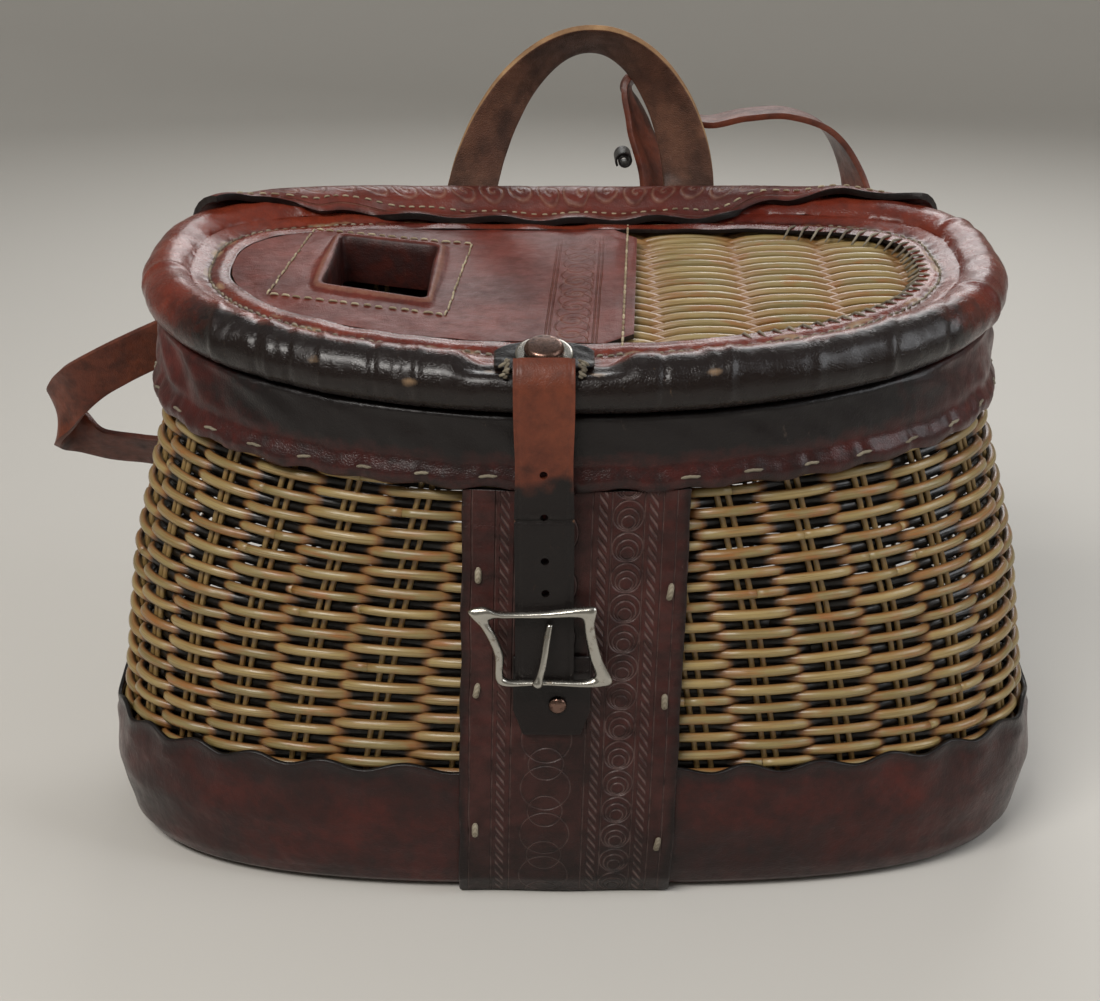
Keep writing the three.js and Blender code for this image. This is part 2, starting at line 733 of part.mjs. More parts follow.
function buckleTongue() {
  const radius = TONGUE_WIRE / 2;
  const foot = framePoint(-0.06, -0.47, FRAME_OUT + BUCKLE_WIRE / 2 + GAP + 1.35 * radius);
  const rest = CLOSURE_OUT + CLOSURE_LEATHER + GAP + radius;
  const tip = framePoint(0.08, -0.47 + TONGUE_LENGTH / BUCKLE_HEIGHT, rest);
  const length = foot.distanceTo(tip);
  const profile = [
    [0, -1.3 * radius], [0.8 * radius, -1.1 * radius], [1.35 * radius, 0], [1.1 * radius, 1.2 * radius],
    [0.8 * radius, 2 * radius], [0.7 * radius, length - radius], [0, length],
  ];
  return seated(profile, 10, foot, tip.clone().sub(foot).normalize());
}

function buckleChape() {
  const top = BUCKLE_Z - 0.25 * BUCKLE_HEIGHT;
  return sheetBody(4, 5, CHAPE_LEATHER, (u, v) => {
    const corner = 1 - 0.22 * Math.max(0, 0.25 - v) * 4;
    const x = BUCKLE_X + 3 + CHAPE_WIDTH * (u - 0.5) * corner;
    return panelPoint(x, top - CHAPE_LENGTH * (1 - v), CHAPE_OUT);
  });
}

function chapeRivet() {
  const r = CHAPE_RIVET_RADIUS;
  const profile = [[0, 0], [r, 0], [0.75 * r, 0.8 * CHAPE_RIVET_HEIGHT], [0, CHAPE_RIVET_HEIGHT]];
  const low = BUCKLE_Z - 0.25 * BUCKLE_HEIGHT - 0.62 * CHAPE_LENGTH;
  const base = panelPoint(BUCKLE_X + 5, low, CHAPE_OUT + CHAPE_LEATHER + GAP);
  return seated(profile, 12, base, new THREE.Vector3(0, -1, 0));
}

// Handle: behind the flap, its legs flat on the back and its bow flared to the front.
const FLAP_BACK = FLAP_CLEAR + FLAP_LEATHER + GAP;
const HANDLE_OUT = FLAP_BACK + HANDLE_LEATHER + GAP;

function handleRow(turn) {
  const lean = THREE.MathUtils.degToRad(turn);
  const bow = Math.sin(lean);
  const wide = HANDLE_SPAN / 2;
  const narrow = wide - HANDLE_WIDTH;
  const foot = behindRim(HANDLE_X + Math.cos(lean) * wide, 0, HANDLE_OUT);
  const rise = HANDLE_RISE * bow ** 1.1;
  const outer = foot.clone().add(new THREE.Vector3(0.07 * HANDLE_RISE * bow, 0.1 * HANDLE_RISE * bow, rise));
  const inner = foot.clone();
  inner.x = HANDLE_X + Math.cos(lean) * narrow + 0.06 * HANDLE_RISE * bow;
  inner.add(new THREE.Vector3(0, 0.34 * HANDLE_RISE * bow, rise - 0.157 * HANDLE_RISE * bow));
  return { outer, inner };
}

// A point behind the back of the rolled edge, at a height over the lid's plane.
function behindRim(x, up, out) {
  const point = facePoint(x, BODY_HEIGHT, out - RIM_INSET, 1);
  point.z = lidPlane(x, point.y) + up;
  return point;
}

function handle() {
  const bow = [180, 165, 150, 135, 120, 105, 90, 75, 60, 45, 30, 15, 0].map(handleRow);
  const foot = ({ outer, inner }) => ({
    outer: outer.clone().add(new THREE.Vector3(0, 0, -HANDLE_FOOT)),
    inner: inner.clone().add(new THREE.Vector3(0, 0, -HANDLE_FOOT)),
  });
  const rows = [foot(bow[0]), ...bow, foot(bow[bow.length - 1])];
  const outer = new THREE.CatmullRomCurve3(rows.map((row) => row.outer), false, 'centripetal');
  const inner = new THREE.CatmullRomCurve3(rows.map((row) => row.inner), false, 'centripetal');
  const count = rows.length - 1;
  return sheetBody(1, 2 * count, HANDLE_LEATHER, (u, v) => (
    outer.getPoint(v).lerp(inner.getPoint(v), u)));
}

// Shoulder strap: one run of leather in three lengths that meet end to end.
// across: share of BODY_HALF_WIDTH. behind: of STRAP_WIDTH, off the back wall. height: of BODY_HEIGHT.
// right, front and up give the way of its width.
const STRAP_ROUTE = [
  { part: 'left', across: -0.48, behind: 0.52, height: 0.90, right: 0, front: 0, up: 1 },
  { part: 'left', across: -0.64, behind: 0.62, height: 0.89, right: 0, front: 0, up: 1 },
  { part: 'left', across: -0.82, behind: 0.78, height: 0.855, right: 0, front: 0.2, up: 1 },
  { part: 'left', across: -0.95, behind: 1.08, height: 0.812, right: 0, front: 0.35, up: 1 },
  { part: 'left', across: -1.08, behind: 1.08, height: 0.757, right: 0, front: 0.35, up: 1 },
  { part: 'left', across: -1.157, behind: 1.2, height: 0.716, right: 0, front: 0.3, up: 1 },
  { part: 'left', across: -1.212, behind: 1.58, height: 0.67, right: 0, front: 0.2, up: 1 },
  { part: 'left', across: -1.238, behind: 1.9, height: 0.633, right: 0, front: 0.1, up: 1 },
  { part: 'left', across: -1.235, behind: 2.2, height: 0.608, right: 0, front: 0.1, up: 1 },
  { part: 'left', across: -1.21, behind: 2.42, height: 0.588, right: 0, front: 0.3, up: 1 },
  { part: 'left', across: -1.15, behind: 2.54, height: 0.562, right: 0, front: 0.7, up: 1 },
  { part: 'left', across: -1.05, behind: 2.54, height: 0.552, right: 0, front: 0.75, up: 1 },
  { part: 'left', across: -0.93, behind: 2.4, height: 0.54, right: 0, front: 0.6, up: 1 },
  { part: 'left', across: -0.70, behind: 1.5, height: 0.43, right: -0.1, front: 0.3, up: 1 },
  { part: 'middle', across: -0.48, behind: 1.1, height: 0.30, right: -0.3, front: 0.1, up: 1 },
  { part: 'middle', across: -0.26, behind: 1.0, height: 0.20, right: -0.4, front: 0, up: 1 },
  { part: 'middle', across: -0.06, behind: 1.0, height: 0.17, right: -0.3, front: 0, up: 1 },
  { part: 'middle', across: 0.08, behind: 1.0, height: 0.28, right: -0.9, front: 0, up: 0.5 },
  { part: 'middle', across: 0.12, behind: 1.0, height: 0.55, right: -1, front: 0, up: 0 },
  { part: 'middle', across: 0.14, behind: 1.0, height: 0.88, right: -1, front: 0, up: 0 },
  { part: 'right', across: 0.195, behind: 1.25, height: 1.09, right: -0.6, front: 0.75, up: 0 },
  { part: 'right', across: 0.155, behind: 1.9, height: 1.22, right: -0.4, front: 0.9, up: 0 },
  { part: 'right', across: 0.13, behind: 2.25, height: 1.31, right: -0.1, front: 1, up: 0 },
  { part: 'right', across: 0.17, behind: 2.5, height: 1.33, right: 0, front: 1, up: 0 },
  { part: 'right', across: 0.24, behind: 2.45, height: 1.265, right: 0, front: 1, up: 0 },
  { part: 'right', across: 0.32, behind: 2.15, height: 1.235, right: 0, front: 1, up: 0 },
  { part: 'right', across: 0.41, behind: 2.1, height: 1.25, right: 0, front: 1, up: 0 },
  { part: 'right', across: 0.51, behind: 2.05, height: 1.255, right: 0, front: 1, up: 0 },
  { part: 'right', across: 0.605, behind: 2.05, height: 1.22, right: 0.1, front: 1, up: 0 },
  { part: 'right', across: 0.67, behind: 2.0, height: 1.12, right: 0.3, front: 1, up: 0 },
  { part: 'right', across: 0.70, behind: 1.6, height: 0.92, right: 0.6, front: 0.7, up: 0 },
  { part: 'right', across: 0.715, behind: 0.8, height: 0.77, right: 0.8, front: 0.5, up: 0 },
  { part: 'right', across: 0.72, behind: 0.34, height: 0.66, right: 0.85, front: 0.5, up: 0 },
  { part: 'right', across: 0.72, behind: 0.34, height: 0.58, right: 0.85, front: 0.5, up: 0 },
];

function strapPoint({ across, behind, height }) {
  const x = across * BODY_HALF_WIDTH;
  const wall = facePoint(x, height * BODY_HEIGHT, 0, 1);
  return new THREE.Vector3(x, wall.y + behind * STRAP_WIDTH, wall.z);
}

function shoulderStrap(part) {
  const middle = new THREE.CatmullRomCurve3(STRAP_ROUTE.map(strapPoint), false, 'centripetal');
  const broads = STRAP_ROUTE.map(({ right, front, up }) => new THREE.Vector3(right, -front, up));
  const breadth = new THREE.CatmullRomCurve3(broads);
  const first = STRAP_ROUTE.findIndex((row) => row.part === part);
  const after = first + STRAP_ROUTE.filter((row) => row.part === part).length;
  const spans = STRAP_ROUTE.length - 1;
  const start = Math.max(first - 0.5, 0) / spans;
  const end = Math.min(after - 0.5, spans) / spans;
  const shorten = first > 0 ? (2 * GAP) / middle.getLength() : 0;
  return sheetBody(1, 2 * (after - first), -STRAP_LEATHER, (u, v) => {
    const at = THREE.MathUtils.lerp(start + shorten, end, v);
    const ahead = middle.getTangent(at);
    const broad = breadth.getPoint(at);
    broad.addScaledVector(ahead, -broad.dot(ahead)).normalize();
    return middle.getPoint(at).addScaledVector(broad, (u - 0.5) * STRAP_WIDTH);
  });
}

function strapRoll() {
  const shape = new THREE.Shape().absarc(0, 0, KEEPER_RADIUS, 0, 2 * Math.PI);
  shape.holes.push(new THREE.Path().absarc(0, 0, KEEPER_BORE, 0, 2 * Math.PI));
  const extrusion = { depth: KEEPER_LENGTH, bevelEnabled: false, curveSegments: 6 };
  const geometry = new THREE.ExtrudeGeometry(shape, extrusion);
  const beside = strapPoint({ across: 0.165, behind: 1.2, height: 1.165 });
  geometry.rotateX(Math.PI / 2);
  geometry.translate(beside.x - KEEPER_ASIDE, beside.y + KEEPER_LENGTH / 2, beside.z);
  return closedBody(geometry);
}

// Colours and finishes
const LEATHER_RED = { color: 0x6b2e25, roughness: 0.45, metalness: 0 };
const LEATHER_DARK = { color: 0x2b1a19, roughness: 0.38, metalness: 0 };
const LEATHER_BASE = { color: 0x3a1410, roughness: 0.42, metalness: 0 };
const LEATHER_TOOLED = { color: 0x45241f, roughness: 0.5, metalness: 0 };
const LEATHER_STRAP = { color: 0x7a3a26, roughness: 0.55, metalness: 0 };
const LEATHER_FLESH = { color: 0x6d4a3b, roughness: 0.8, metalness: 0 };
const WICKER = { color: 0xa08c58, roughness: 0.5, metalness: 0 };
const NICKEL = { color: 0x9a9a94, roughness: 0.35, metalness: 1 };

const PIECES = [
  { name: 'wicker_body', shape: wickerBody, finish: WICKER },
  { name: 'base_wrap', shape: baseWrap, finish: LEATHER_BASE },
  { name: 'collar', shape: collar, finish: LEATHER_DARK },
  { name: 'front_panel', shape: frontPanel, finish: LEATHER_TOOLED },
  { name: 'lid_wicker', shape: lidWicker, finish: WICKER },
  { name: 'lid_cover', shape: lidCover, finish: LEATHER_RED },
  { name: 'hole_lining', shape: holeLining, finish: LEATHER_DARK },
  { name: 'lid_rim', shape: lidRim, finish: LEATHER_DARK },
  { name: 'hinge_flap', shape: hingeFlap, finish: LEATHER_RED },
  { name: 'latch_tab', shape: latchTab, finish: LEATHER_DARK },
  { name: 'closure_strap', shape: closureStrap, finish: LEATHER_STRAP },
  { name: 'latch_washer', shape: latchWasher, finish: NICKEL },
  { name: 'rivet_cap', shape: rivetCap, finish: NICKEL },
  { name: 'buckle_chape', shape: buckleChape, finish: LEATHER_DARK },
  { name: 'chape_rivet', shape: chapeRivet, finish: NICKEL },
  { name: 'buckle_frame', shape: buckleFrame, finish: NICKEL },
  { name: 'buckle_tongue', shape: buckleTongue, finish: NICKEL },
  { name: 'handle', shape: handle, finish: LEATHER_FLESH },
  { name: 'strap_left', shape: () => shoulderStrap('left'), finish: LEATHER_STRAP },
  { name: 'strap_middle', shape: () => shoulderStrap('middle'), finish: LEATHER_STRAP },
  { name: 'strap_right', shape: () => shoulderStrap('right'), finish: LEATHER_STRAP },
  { name: 'strap_roll', shape: strapRoll, finish: LEATHER_DARK },
];

const creel = new THREE.Group();
for (const { name, shape, finish } of PIECES) {
  const mesh = new THREE.Mesh(shape(), new THREE.MeshStandardMaterial(finish));
  mesh.name = name;
  creel.add(mesh);
}

export default creel;
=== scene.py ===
import math
import random
from collections import namedtuple
from functools import partial

import bmesh
import bpy
from bpy.props import FloatProperty, FloatVectorProperty, PointerProperty
from mathutils import Matrix, Vector, noise


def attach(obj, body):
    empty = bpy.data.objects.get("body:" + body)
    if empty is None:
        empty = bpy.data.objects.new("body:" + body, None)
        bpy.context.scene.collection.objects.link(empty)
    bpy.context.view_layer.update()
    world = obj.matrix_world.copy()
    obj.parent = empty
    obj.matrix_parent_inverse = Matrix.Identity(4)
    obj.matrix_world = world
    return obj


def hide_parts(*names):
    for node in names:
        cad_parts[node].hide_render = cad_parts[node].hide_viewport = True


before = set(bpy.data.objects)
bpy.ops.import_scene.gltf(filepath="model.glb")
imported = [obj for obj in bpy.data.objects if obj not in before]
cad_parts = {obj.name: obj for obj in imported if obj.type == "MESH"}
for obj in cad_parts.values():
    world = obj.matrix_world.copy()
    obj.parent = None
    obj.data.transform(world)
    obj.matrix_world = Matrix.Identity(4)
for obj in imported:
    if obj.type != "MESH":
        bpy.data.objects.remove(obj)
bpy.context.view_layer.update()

bl_info = {
    "name": "Wicker Fishing Creel",
    "version": (1, 0, 0),
    "blender": (4, 5, 0),
    "location": "View3D > Sidebar > Creel",
    "description": "An oval willow creel with a leather base, collar, lid and straps",
    "category": "Add Mesh",
}

# Sizes of the basket and its leather, in metres. The front faces -Y.
GAP = 0.0003
BODY_HALF_WIDTH = 0.1785
FRONT_REACH = 0.086
BACK_REACH = 0.082
BODY_HEIGHT = 0.185
WICKER_WALL = 0.008
TOP_TILT = 0.125
SIDE_LIFT = 0.0032
STAKE_PAIRS = 30
BASE_HEIGHT = 0.053
BASE_LEATHER = 0.0025
BASE_WAVE = 0.0025
COLLAR_HEIGHT = 0.026
COLLAR_LEATHER = 0.0022
COLLAR_PUCKER = 0.0016
PANEL_WIDTH = 0.077
PANEL_LEATHER = 0.0024
PANEL_SHIFT = 0.004
ROLL_RADIUS = 0.0095
RIM_INSET = 0.0015
BORDER_WIDTH = 0.023
BORDER_LEATHER = 0.0024
LID_WALL = 0.0075
LID_STEP = 0.0005
LID_DOME = 0.002
LID_LEATHER = 0.0024
COVER_EDGE = 0.0225
COVER_SLANT = 0.057
HOLE_X = -0.0725
HOLE_Y = 0.008
HOLE_WIDTH = 0.039
HOLE_LENGTH = 0.056
HOLE_CORNER = 0.004
LINING_LEATHER = 0.002
LINING_DEPTH = 0.007
FLAP_REACH = 0.023
FLAP_LEATHER = 0.0026
FLAP_WAVE = 0.0014
FLAP_WAVES = 8
FLAP_DROP = 0.038
FLAP_MARGIN = 0.0152
ROLL_CLEAR = ROLL_RADIUS + 0.0009
FLAP_CLEAR = ROLL_CLEAR + 2 * GAP
LATCH_X = -0.011
LATCH_INSET = 0.0025
LATCH_DENT = 0.004
LATCH_LEAN = 18
CLOSURE_WIDTH = 0.020
CLOSURE_LEATHER = 0.0028
TAB_WIDTH = 0.033
TAB_LENGTH = 0.017
TAB_LEATHER = 0.0016
WASHER_RADIUS = 0.0096
WASHER_METAL = 0.0012
CAP_RADIUS = 0.0066
CAP_HEIGHT = 0.003
BUCKLE_X = -0.0115
BUCKLE_Z = 0.1065
BUCKLE_WIDTH = 0.036
BUCKLE_HEIGHT = 0.027
BUCKLE_WIRE = 0.0036
CHAPE_WIDTH = 0.027
CHAPE_LENGTH = 0.030
CHAPE_LEATHER = 0.002
HANDLE_SPAN = 0.112
HANDLE_RISE = 0.073
HANDLE_WIDTH = 0.021
HANDLE_LEATHER = 0.003
HANDLE_X = 0.003
HANDLE_FOOT = 0.030
STRAP_WIDTH = 0.020
STRAP_LEATHER = 0.0025

# Outlines of the basket at a few levels, as shares of the sizes above.
# round and square say how boxy the front and the back are, 2 for an ellipse.
Section = namedtuple("Section", "height half front back middle tilt lift round square")
SECTIONS = [Section(*row) for row in (
    (0.00, 0.925, 0.92, 0.845, -0.03, 0, 0, 3.0, 3.0),
    (0.045, 0.972, 0.97, 0.92, -0.03, 0, 0, 3.0, 3.0),
    (0.16, 1.00, 1.00, 0.97, -0.02, 0, 0, 2.9, 3.0),
    (0.29, 0.987, 1.00, 0.99, -0.01, 0.1, 0, 2.8, 3.1),
    (0.57, 0.947, 0.99, 0.975, 0.03, 0.4, 0.5, 2.5, 3.3),
    (0.85, 0.862, 0.942, 0.90, 0.09, 0.8, 1, 2.2, 3.4),
    (1.00, 0.849, 0.965, 0.915, 0.12, 1, 1, 2.1, 3.5),
)]
SECTION_SIZES = Section(BODY_HEIGHT, BODY_HALF_WIDTH, FRONT_REACH, BACK_REACH, BACK_REACH, TOP_TILT, SIDE_LIFT,
                        1, 1)


def mix(a, b, share):
    return a + (b - a) * share


def smooth(value, low, high):
    share = min(max((value - low) / (high - low), 0.0), 1.0)
    return share * share * (3 - 2 * share)


def bump(value, middle, width):
    """A soft hump of height 1 at middle, gone two widths away."""
    return math.exp(-((value - middle) / width) ** 2)


def section_at(height):
    """The basket's outline at a height that is measured at its front."""
    share = min(max(height / BODY_HEIGHT, 0.0), 1.0)
    row = 1
    while row < len(SECTIONS) - 1 and SECTIONS[row].height < share:
        row += 1
    below, above = SECTIONS[row - 1], SECTIONS[row]
    part = (share - below.height) / (above.height - below.height)
    values = [mix(a, b, part) * size for a, b, size in zip(below, above, SECTION_SIZES)]
    return Section(height, *values[1:])


TOP = section_at(BODY_HEIGHT)
COLLAR_BOTTOM = BODY_HEIGHT - COLLAR_HEIGHT
LEATHER_OUT = GAP + BASE_LEATHER
COLLAR_OUT = GAP + COLLAR_LEATHER


def height_over(section, x, y):
    return section.height + section.tilt * (y + section.front) + section.lift * (x / section.half) ** 2


def spread(share, power):
    return math.copysign(abs(share) ** (2 / power), share)


def outline_point(section, angle, out=0.0):
    behind = math.sin(angle) >= 0
    power = section.square if behind else section.round
    depth = section.back - section.middle if behind else section.front + section.middle
    x = (section.half + out) * spread(math.cos(angle), power)
    y = section.middle + (depth + out) * spread(math.sin(angle), power)
    return Vector((x, y, height_over(section, x, y)))


def wall_point(angle, height, out):
    return outline_point(section_at(height), angle, out)


def face_point(x, height, out, side):
    """A point on the front (side -1) or the back (side 1) of the wall, found by its x."""
    section = section_at(height)
    power = section.square if side > 0 else section.round
    depth = section.back - section.middle if side > 0 else section.front + section.middle
    share = min(abs(x) / (section.half + out), 0.97)
    y = section.middle + side * (depth + out) * (1 - share ** power) ** (1 / power)
    return Vector((x, y, height_over(section, x, y)))


ARC_STEPS = 1440


def arc_lengths():
    """Lengths round the top of the basket, at equal steps of angle."""
    lengths, before = [0.0], outline_point(TOP, 0)
    for step in range(1, ARC_STEPS + 1):
        after = outline_point(TOP, 2 * math.pi * step / ARC_STEPS)
        lengths.append(lengths[-1] + (after - before).length)
        before = after
    return lengths


ARC = arc_lengths()


def angle_at(share):
    """The angle at a share of the way round the top, from the right end over the back."""
    turns, share = divmod(share, 1.0)
    length = share * ARC[-1]
    low, high = 0, ARC_STEPS
    while high - low > 1:
        half = (low + high) // 2
        low, high = (half, high) if ARC[half] <= length else (low, half)
    part = (length - ARC[low]) / (ARC[high] - ARC[low])
    return 2 * math.pi * (turns + (low + part) / ARC_STEPS)


def share_at(angle):
    step = angle / (2 * math.pi) * ARC_STEPS
    i = min(int(step), ARC_STEPS - 1)
    return mix(ARC[i], ARC[i + 1], step - i) / ARC[-1]


def lid_plane(x, y):
    return height_over(TOP, x, y) + ROLL_RADIUS + GAP


def rim_point(angle, out, up):
    point = outline_point(TOP, angle, out - RIM_INSET)
    point.z = lid_plane(point.x, point.y) + up
    return point


def lid_reach(x, y, out=0.0):
    """0 at the lid's middle, 1 on the basket's outline moved outwards by out."""
    behind = y > TOP.middle
    power = TOP.square if behind else TOP.round
    depth = (TOP.back - TOP.middle if behind else TOP.front + TOP.middle) + out
    return (abs(x / (TOP.half + out)) ** power + abs((y - TOP.middle) / depth) ** power) ** (1 / power)


def lid_top(x, y):
    return lid_plane(x, y) + LID_STEP + LID_DOME * max(0.0, 1 - lid_reach(x, y) ** 2)


def spline_at(points, share, closed=False):
    """A point on a smooth curve through points."""
    count = len(points)
    spans = count if closed else count - 1
    at = min(max(share, 0.0), 1.0) * spans
    i = min(int(at), spans - 1)
    t = at - i
    b, c = points[i % count], points[(i + 1) % count]
    a = points[(i - 1) % count] if closed or i > 0 else 2 * b - c
    d = points[(i + 2) % count] if closed or i + 2 < count else 2 * c - b
    before, over, after = [max((q - p).length, 1e-9) ** 0.5 for p, q in ((a, b), (b, c), (c, d))]
    leave = ((b - a) / before - (c - a) / (before + over) + (c - b) / over) * over
    reach = ((c - b) / over - (d - b) / (over + after) + (d - c) / after) * over
    rise = (2 * t ** 3 - 3 * t ** 2 + 1) * b + (t ** 3 - 2 * t ** 2 + t) * leave
    return rise + (3 * t ** 2 - 2 * t ** 3) * c + (t ** 3 - t ** 2) * reach


def evenly(points, count):
    """Points at equal steps of length on the smooth curve through points."""
    fine = [spline_at(points, step / (12 * count)) for step in range(12 * count + 1)]
    lengths = [0.0]
    for a, b in zip(fine, fine[1:]):
        lengths.append(lengths[-1] + (b - a).length)
    spaced, i = [], 1
    for step in range(count + 1):
        length = lengths[-1] * step / count
        while i < len(fine) - 1 and lengths[i] < length:
            i += 1
        spaced.append(fine[i - 1].lerp(fine[i], (length - lengths[i - 1]) / (lengths[i] - lengths[i - 1])))
    return spaced


def rough(point, grain, seed=0.0):
    """Smooth noise between -1 and 1, with lumps about grain wide."""
    return noise.noise(Vector(point) / grain + Vector((seed, 2 * seed, 3 * seed)))


# Making meshes


def finish_mesh(bm, name):
    mesh = bpy.data.meshes.new(name)
    bm.to_mesh(mesh)
    bm.free()
    mesh.polygons.foreach_set("use_smooth", [True] * len(mesh.polygons))
    piece = bpy.data.objects.new(name, mesh)
    bpy.context.scene.collection.objects.link(piece)
    return piece


def punch(bm, cut, holes, radius):
    """Opens round holes in a flat grid and draws the verts round each one to its circle."""
    size = Vector((*cut, 1.0))
    for u, v in holes:
        centre = Vector((u - 0.5, v - 0.5, 0)) * size
        inside = [face for face in bm.faces if (face.calc_center_median() * size - centre).length < radius]
        around = {vert for face in inside for vert in face.verts}
        bmesh.ops.delete(bm, geom=inside, context="FACES")
        for vert in around:
            if vert.is_valid:
                placed = centre + (vert.co * size - centre).normalized() * radius
                vert.co = (placed.x / size.x, placed.y / size.y, 0)


def sheet(name, columns, rows, surface, cut, leather=0.0, closed=False, marks=None, edge=0.0006, flip=False,
          holes=(), hole_radius=0.0):
    """A sheet bent over surface(u, v), which gives its outer face.

    cut is its flat width and length, for its UV map in metres. leather is its thickness.
    marks(u, v) gives the attributes for patina and painted shade, and for rub, from 0 to 1. flip turns the
    outer face over.
    """
    bm = bmesh.new()
    bmesh.ops.create_grid(bm, x_segments=columns, y_segments=rows, size=0.5)
    punch(bm, cut, holes, hole_radius)
    uv = bm.loops.layers.uv.new("cut")
    layers = {key: bm.verts.layers.float.new(key) for key in ("patina", "rub")}
    for face in bm.faces:
        for loop in face.loops:
            at = loop.vert.co
            loop[uv].uv = ((at.x + 0.5) * cut[0], (at.y + 0.5) * cut[1])
    for vert in bm.verts:
        u, v = vert.co.x + 0.5, vert.co.y + 0.5
        if marks:
            for key, value in marks(u, v).items():
                vert[layers[key]] = value
        vert.co = surface(u, v)
    if closed:
        bmesh.ops.remove_doubles(bm, verts=bm.verts, dist=1e-5)
    if flip:
        bmesh.ops.reverse_faces(bm, faces=bm.faces)
    piece = finish_mesh(bm, name)
    if leather:
        wall = piece.modifiers.new("leather", "SOLIDIFY")
        wall.thickness = leather
        wall.offset = -1
        wall.material_offset_rim = 1
        soft = piece.modifiers.new("edge", "BEVEL")
        soft.width = edge
        soft.segments = 2
        soft.limit_method = "ANGLE"
        soft.angle_limit = math.radians(60)
    return piece


def rods(name, runs, sides=8):
    """Round rods as one mesh. Each run has its points, its radius at each of them and its tone.

    Each point's darkening gives an orange-brown stain and then painted shade towards black where a rod passes
    behind; inwards gives the ways that face the dark inside of the basket, and faces turned that way get
    painted shade too.
    """
    curve = bpy.data.curves.new(name, "CURVE")
    curve.dimensions = "3D"
    curve.bevel_depth = 1.0
    curve.bevel_resolution = sides // 2 - 2
    tones, stains_and_painted_shades, lengths, centres, inwards, shade = [], [], [], [], [], []
    for run in runs:
        points = run["points"]
        spline = curve.splines.new("POLY")
        spline.points.add(len(points) - 1)
        spline.points.foreach_set("co", [value for p in points for value in (*p, 1.0)])
        spline.points.foreach_set("radius", run["radii"])
        tones += [run.get("tone", 0.5)] * len(points)
        stains_and_painted_shades += run.get("stain_and_painted_shade", [0.0] * len(points))
        centres += points
        inwards += run.get("inwards", [])
        length = run.get("start", 0.0)
        for i, point in enumerate(points):
            length += (point - points[i - 1]).length if i else 0.0
            lengths.append(length)
    holder = bpy.data.objects.new(name, curve)
    mesh = bpy.data.meshes.new_from_object(holder)
    bpy.data.objects.remove(holder)
    bpy.data.curves.remove(curve)
    rings = len(mesh.vertices) // sides
    if rings != len(tones):
        raise RuntimeError(f"{name} has {rings} rings for {len(tones)} points")
    for i, vert in enumerate(mesh.vertices):
        if inwards:
            # Painted shade on the faces of a rod that turn towards the inside of the basket.
            deep = (vert.co - centres[i // sides]).dot(inwards[i // sides])
            shade.append(max(stains_and_painted_shades[i // sides], 0.9 * smooth(deep, -0.0006, 0.0008)))
        else:
            shade.append(stains_and_painted_shades[i // sides])
    around = [i % sides for i in range(len(mesh.vertices))]
    along = [i // sides for i in range(len(mesh.vertices))]
    for key, values in (("tone", [tones[i] for i in along]), ("stain_and_painted_shade", shade)):
        layer = mesh.attributes.new(key, "FLOAT", "POINT")
        layer.data.foreach_set("value", values)
    grain = mesh.attributes.new("grain", "FLOAT_VECTOR", "POINT")
    turn = 2 * math.pi / sides
    grain.data.foreach_set("vector", [value for i, k in zip(along, around) for value in (
        lengths[i], 0.002 * math.cos(turn * k) + tones[i], 0.002 * math.sin(turn * k))])
    bm = bmesh.new()
    bm.from_mesh(mesh)
    bmesh.ops.holes_fill(bm, edges=[edge for edge in bm.edges if edge.is_boundary], sides=sides)
    bpy.data.meshes.remove(mesh)
    return finish_mesh(bm, name)


def turned(name, profile, steps, base, outwards):
    """A turned piece: the profile is (radius, height) pairs, spun round the way outwards."""
    bm = bmesh.new()
    verts = [bm.verts.new((radius, 0, height)) for radius, height in profile]
    edges = [bm.edges.new(pair) for pair in zip(verts, verts[1:])]
    bmesh.ops.spin(bm, geom=verts + edges, cent=(0, 0, 0), axis=(0, 0, 1), angle=2 * math.pi,
                   steps=steps, use_merge=True)
    bmesh.ops.remove_doubles(bm, verts=bm.verts, dist=1e-6)
    bmesh.ops.recalc_face_normals(bm, faces=bm.faces)
    turn = Vector((0, 0, 1)).rotation_difference(outwards).to_matrix().to_4x4()
    bmesh.ops.transform(bm, matrix=Matrix.Translation(base) @ turn, verts=bm.verts)
    return finish_mesh(bm, name)


def thread(points, radius, tone=0.5):
    """One stitch or lace for rods(), thinner at its ends."""
    radii = [radius * (0.6 if i in (0, len(points) - 1) else 1.0) for i in range(len(points))]
    return {"points": points, "radii": radii, "tone": tone}


def stitches(line, count, share, radius, lift, seed):
    """A running stitch along line(at), which gives a point and the way out of the leather."""
    draw = random.Random(seed)
    runs = []
    for k in range(count):
        middle = (k + 0.5 + draw.uniform(-0.08, 0.08)) / count
        half = 0.5 * share * draw.uniform(0.85, 1.1) / count
        points = []
        for part in (-1.0, -0.6, 0.0, 0.6, 1.0):
            point, out = line(min(max(middle + part * half, 0.0), 1.0))
            points.append(point + out * (lift - 1.6 * radius * part ** 4))
        runs.append(thread(points, radius, draw.random()))
    return runs


def settle(piece, slot, materials, *nodes):
    """Rides a piece on the basket, gives it its finish and hides the nodes that it stands for."""
    for material in materials:
        piece.data.materials.append(material)
    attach(piece, "root")
    if nodes:
        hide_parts(*nodes)
    return piece


# Materials


def linear_light(value):
    """One sRGB channel as linear light."""
    return value / 12.92 if value <= 0.04045 else ((value + 0.055) / 1.055) ** 2.4


def colour(code):
    """An sRGB hex code as linear RGBA."""
    return tuple(linear_light(int(code[i:i + 2], 16) / 255) for i in (1, 3, 5)) + (1.0,)


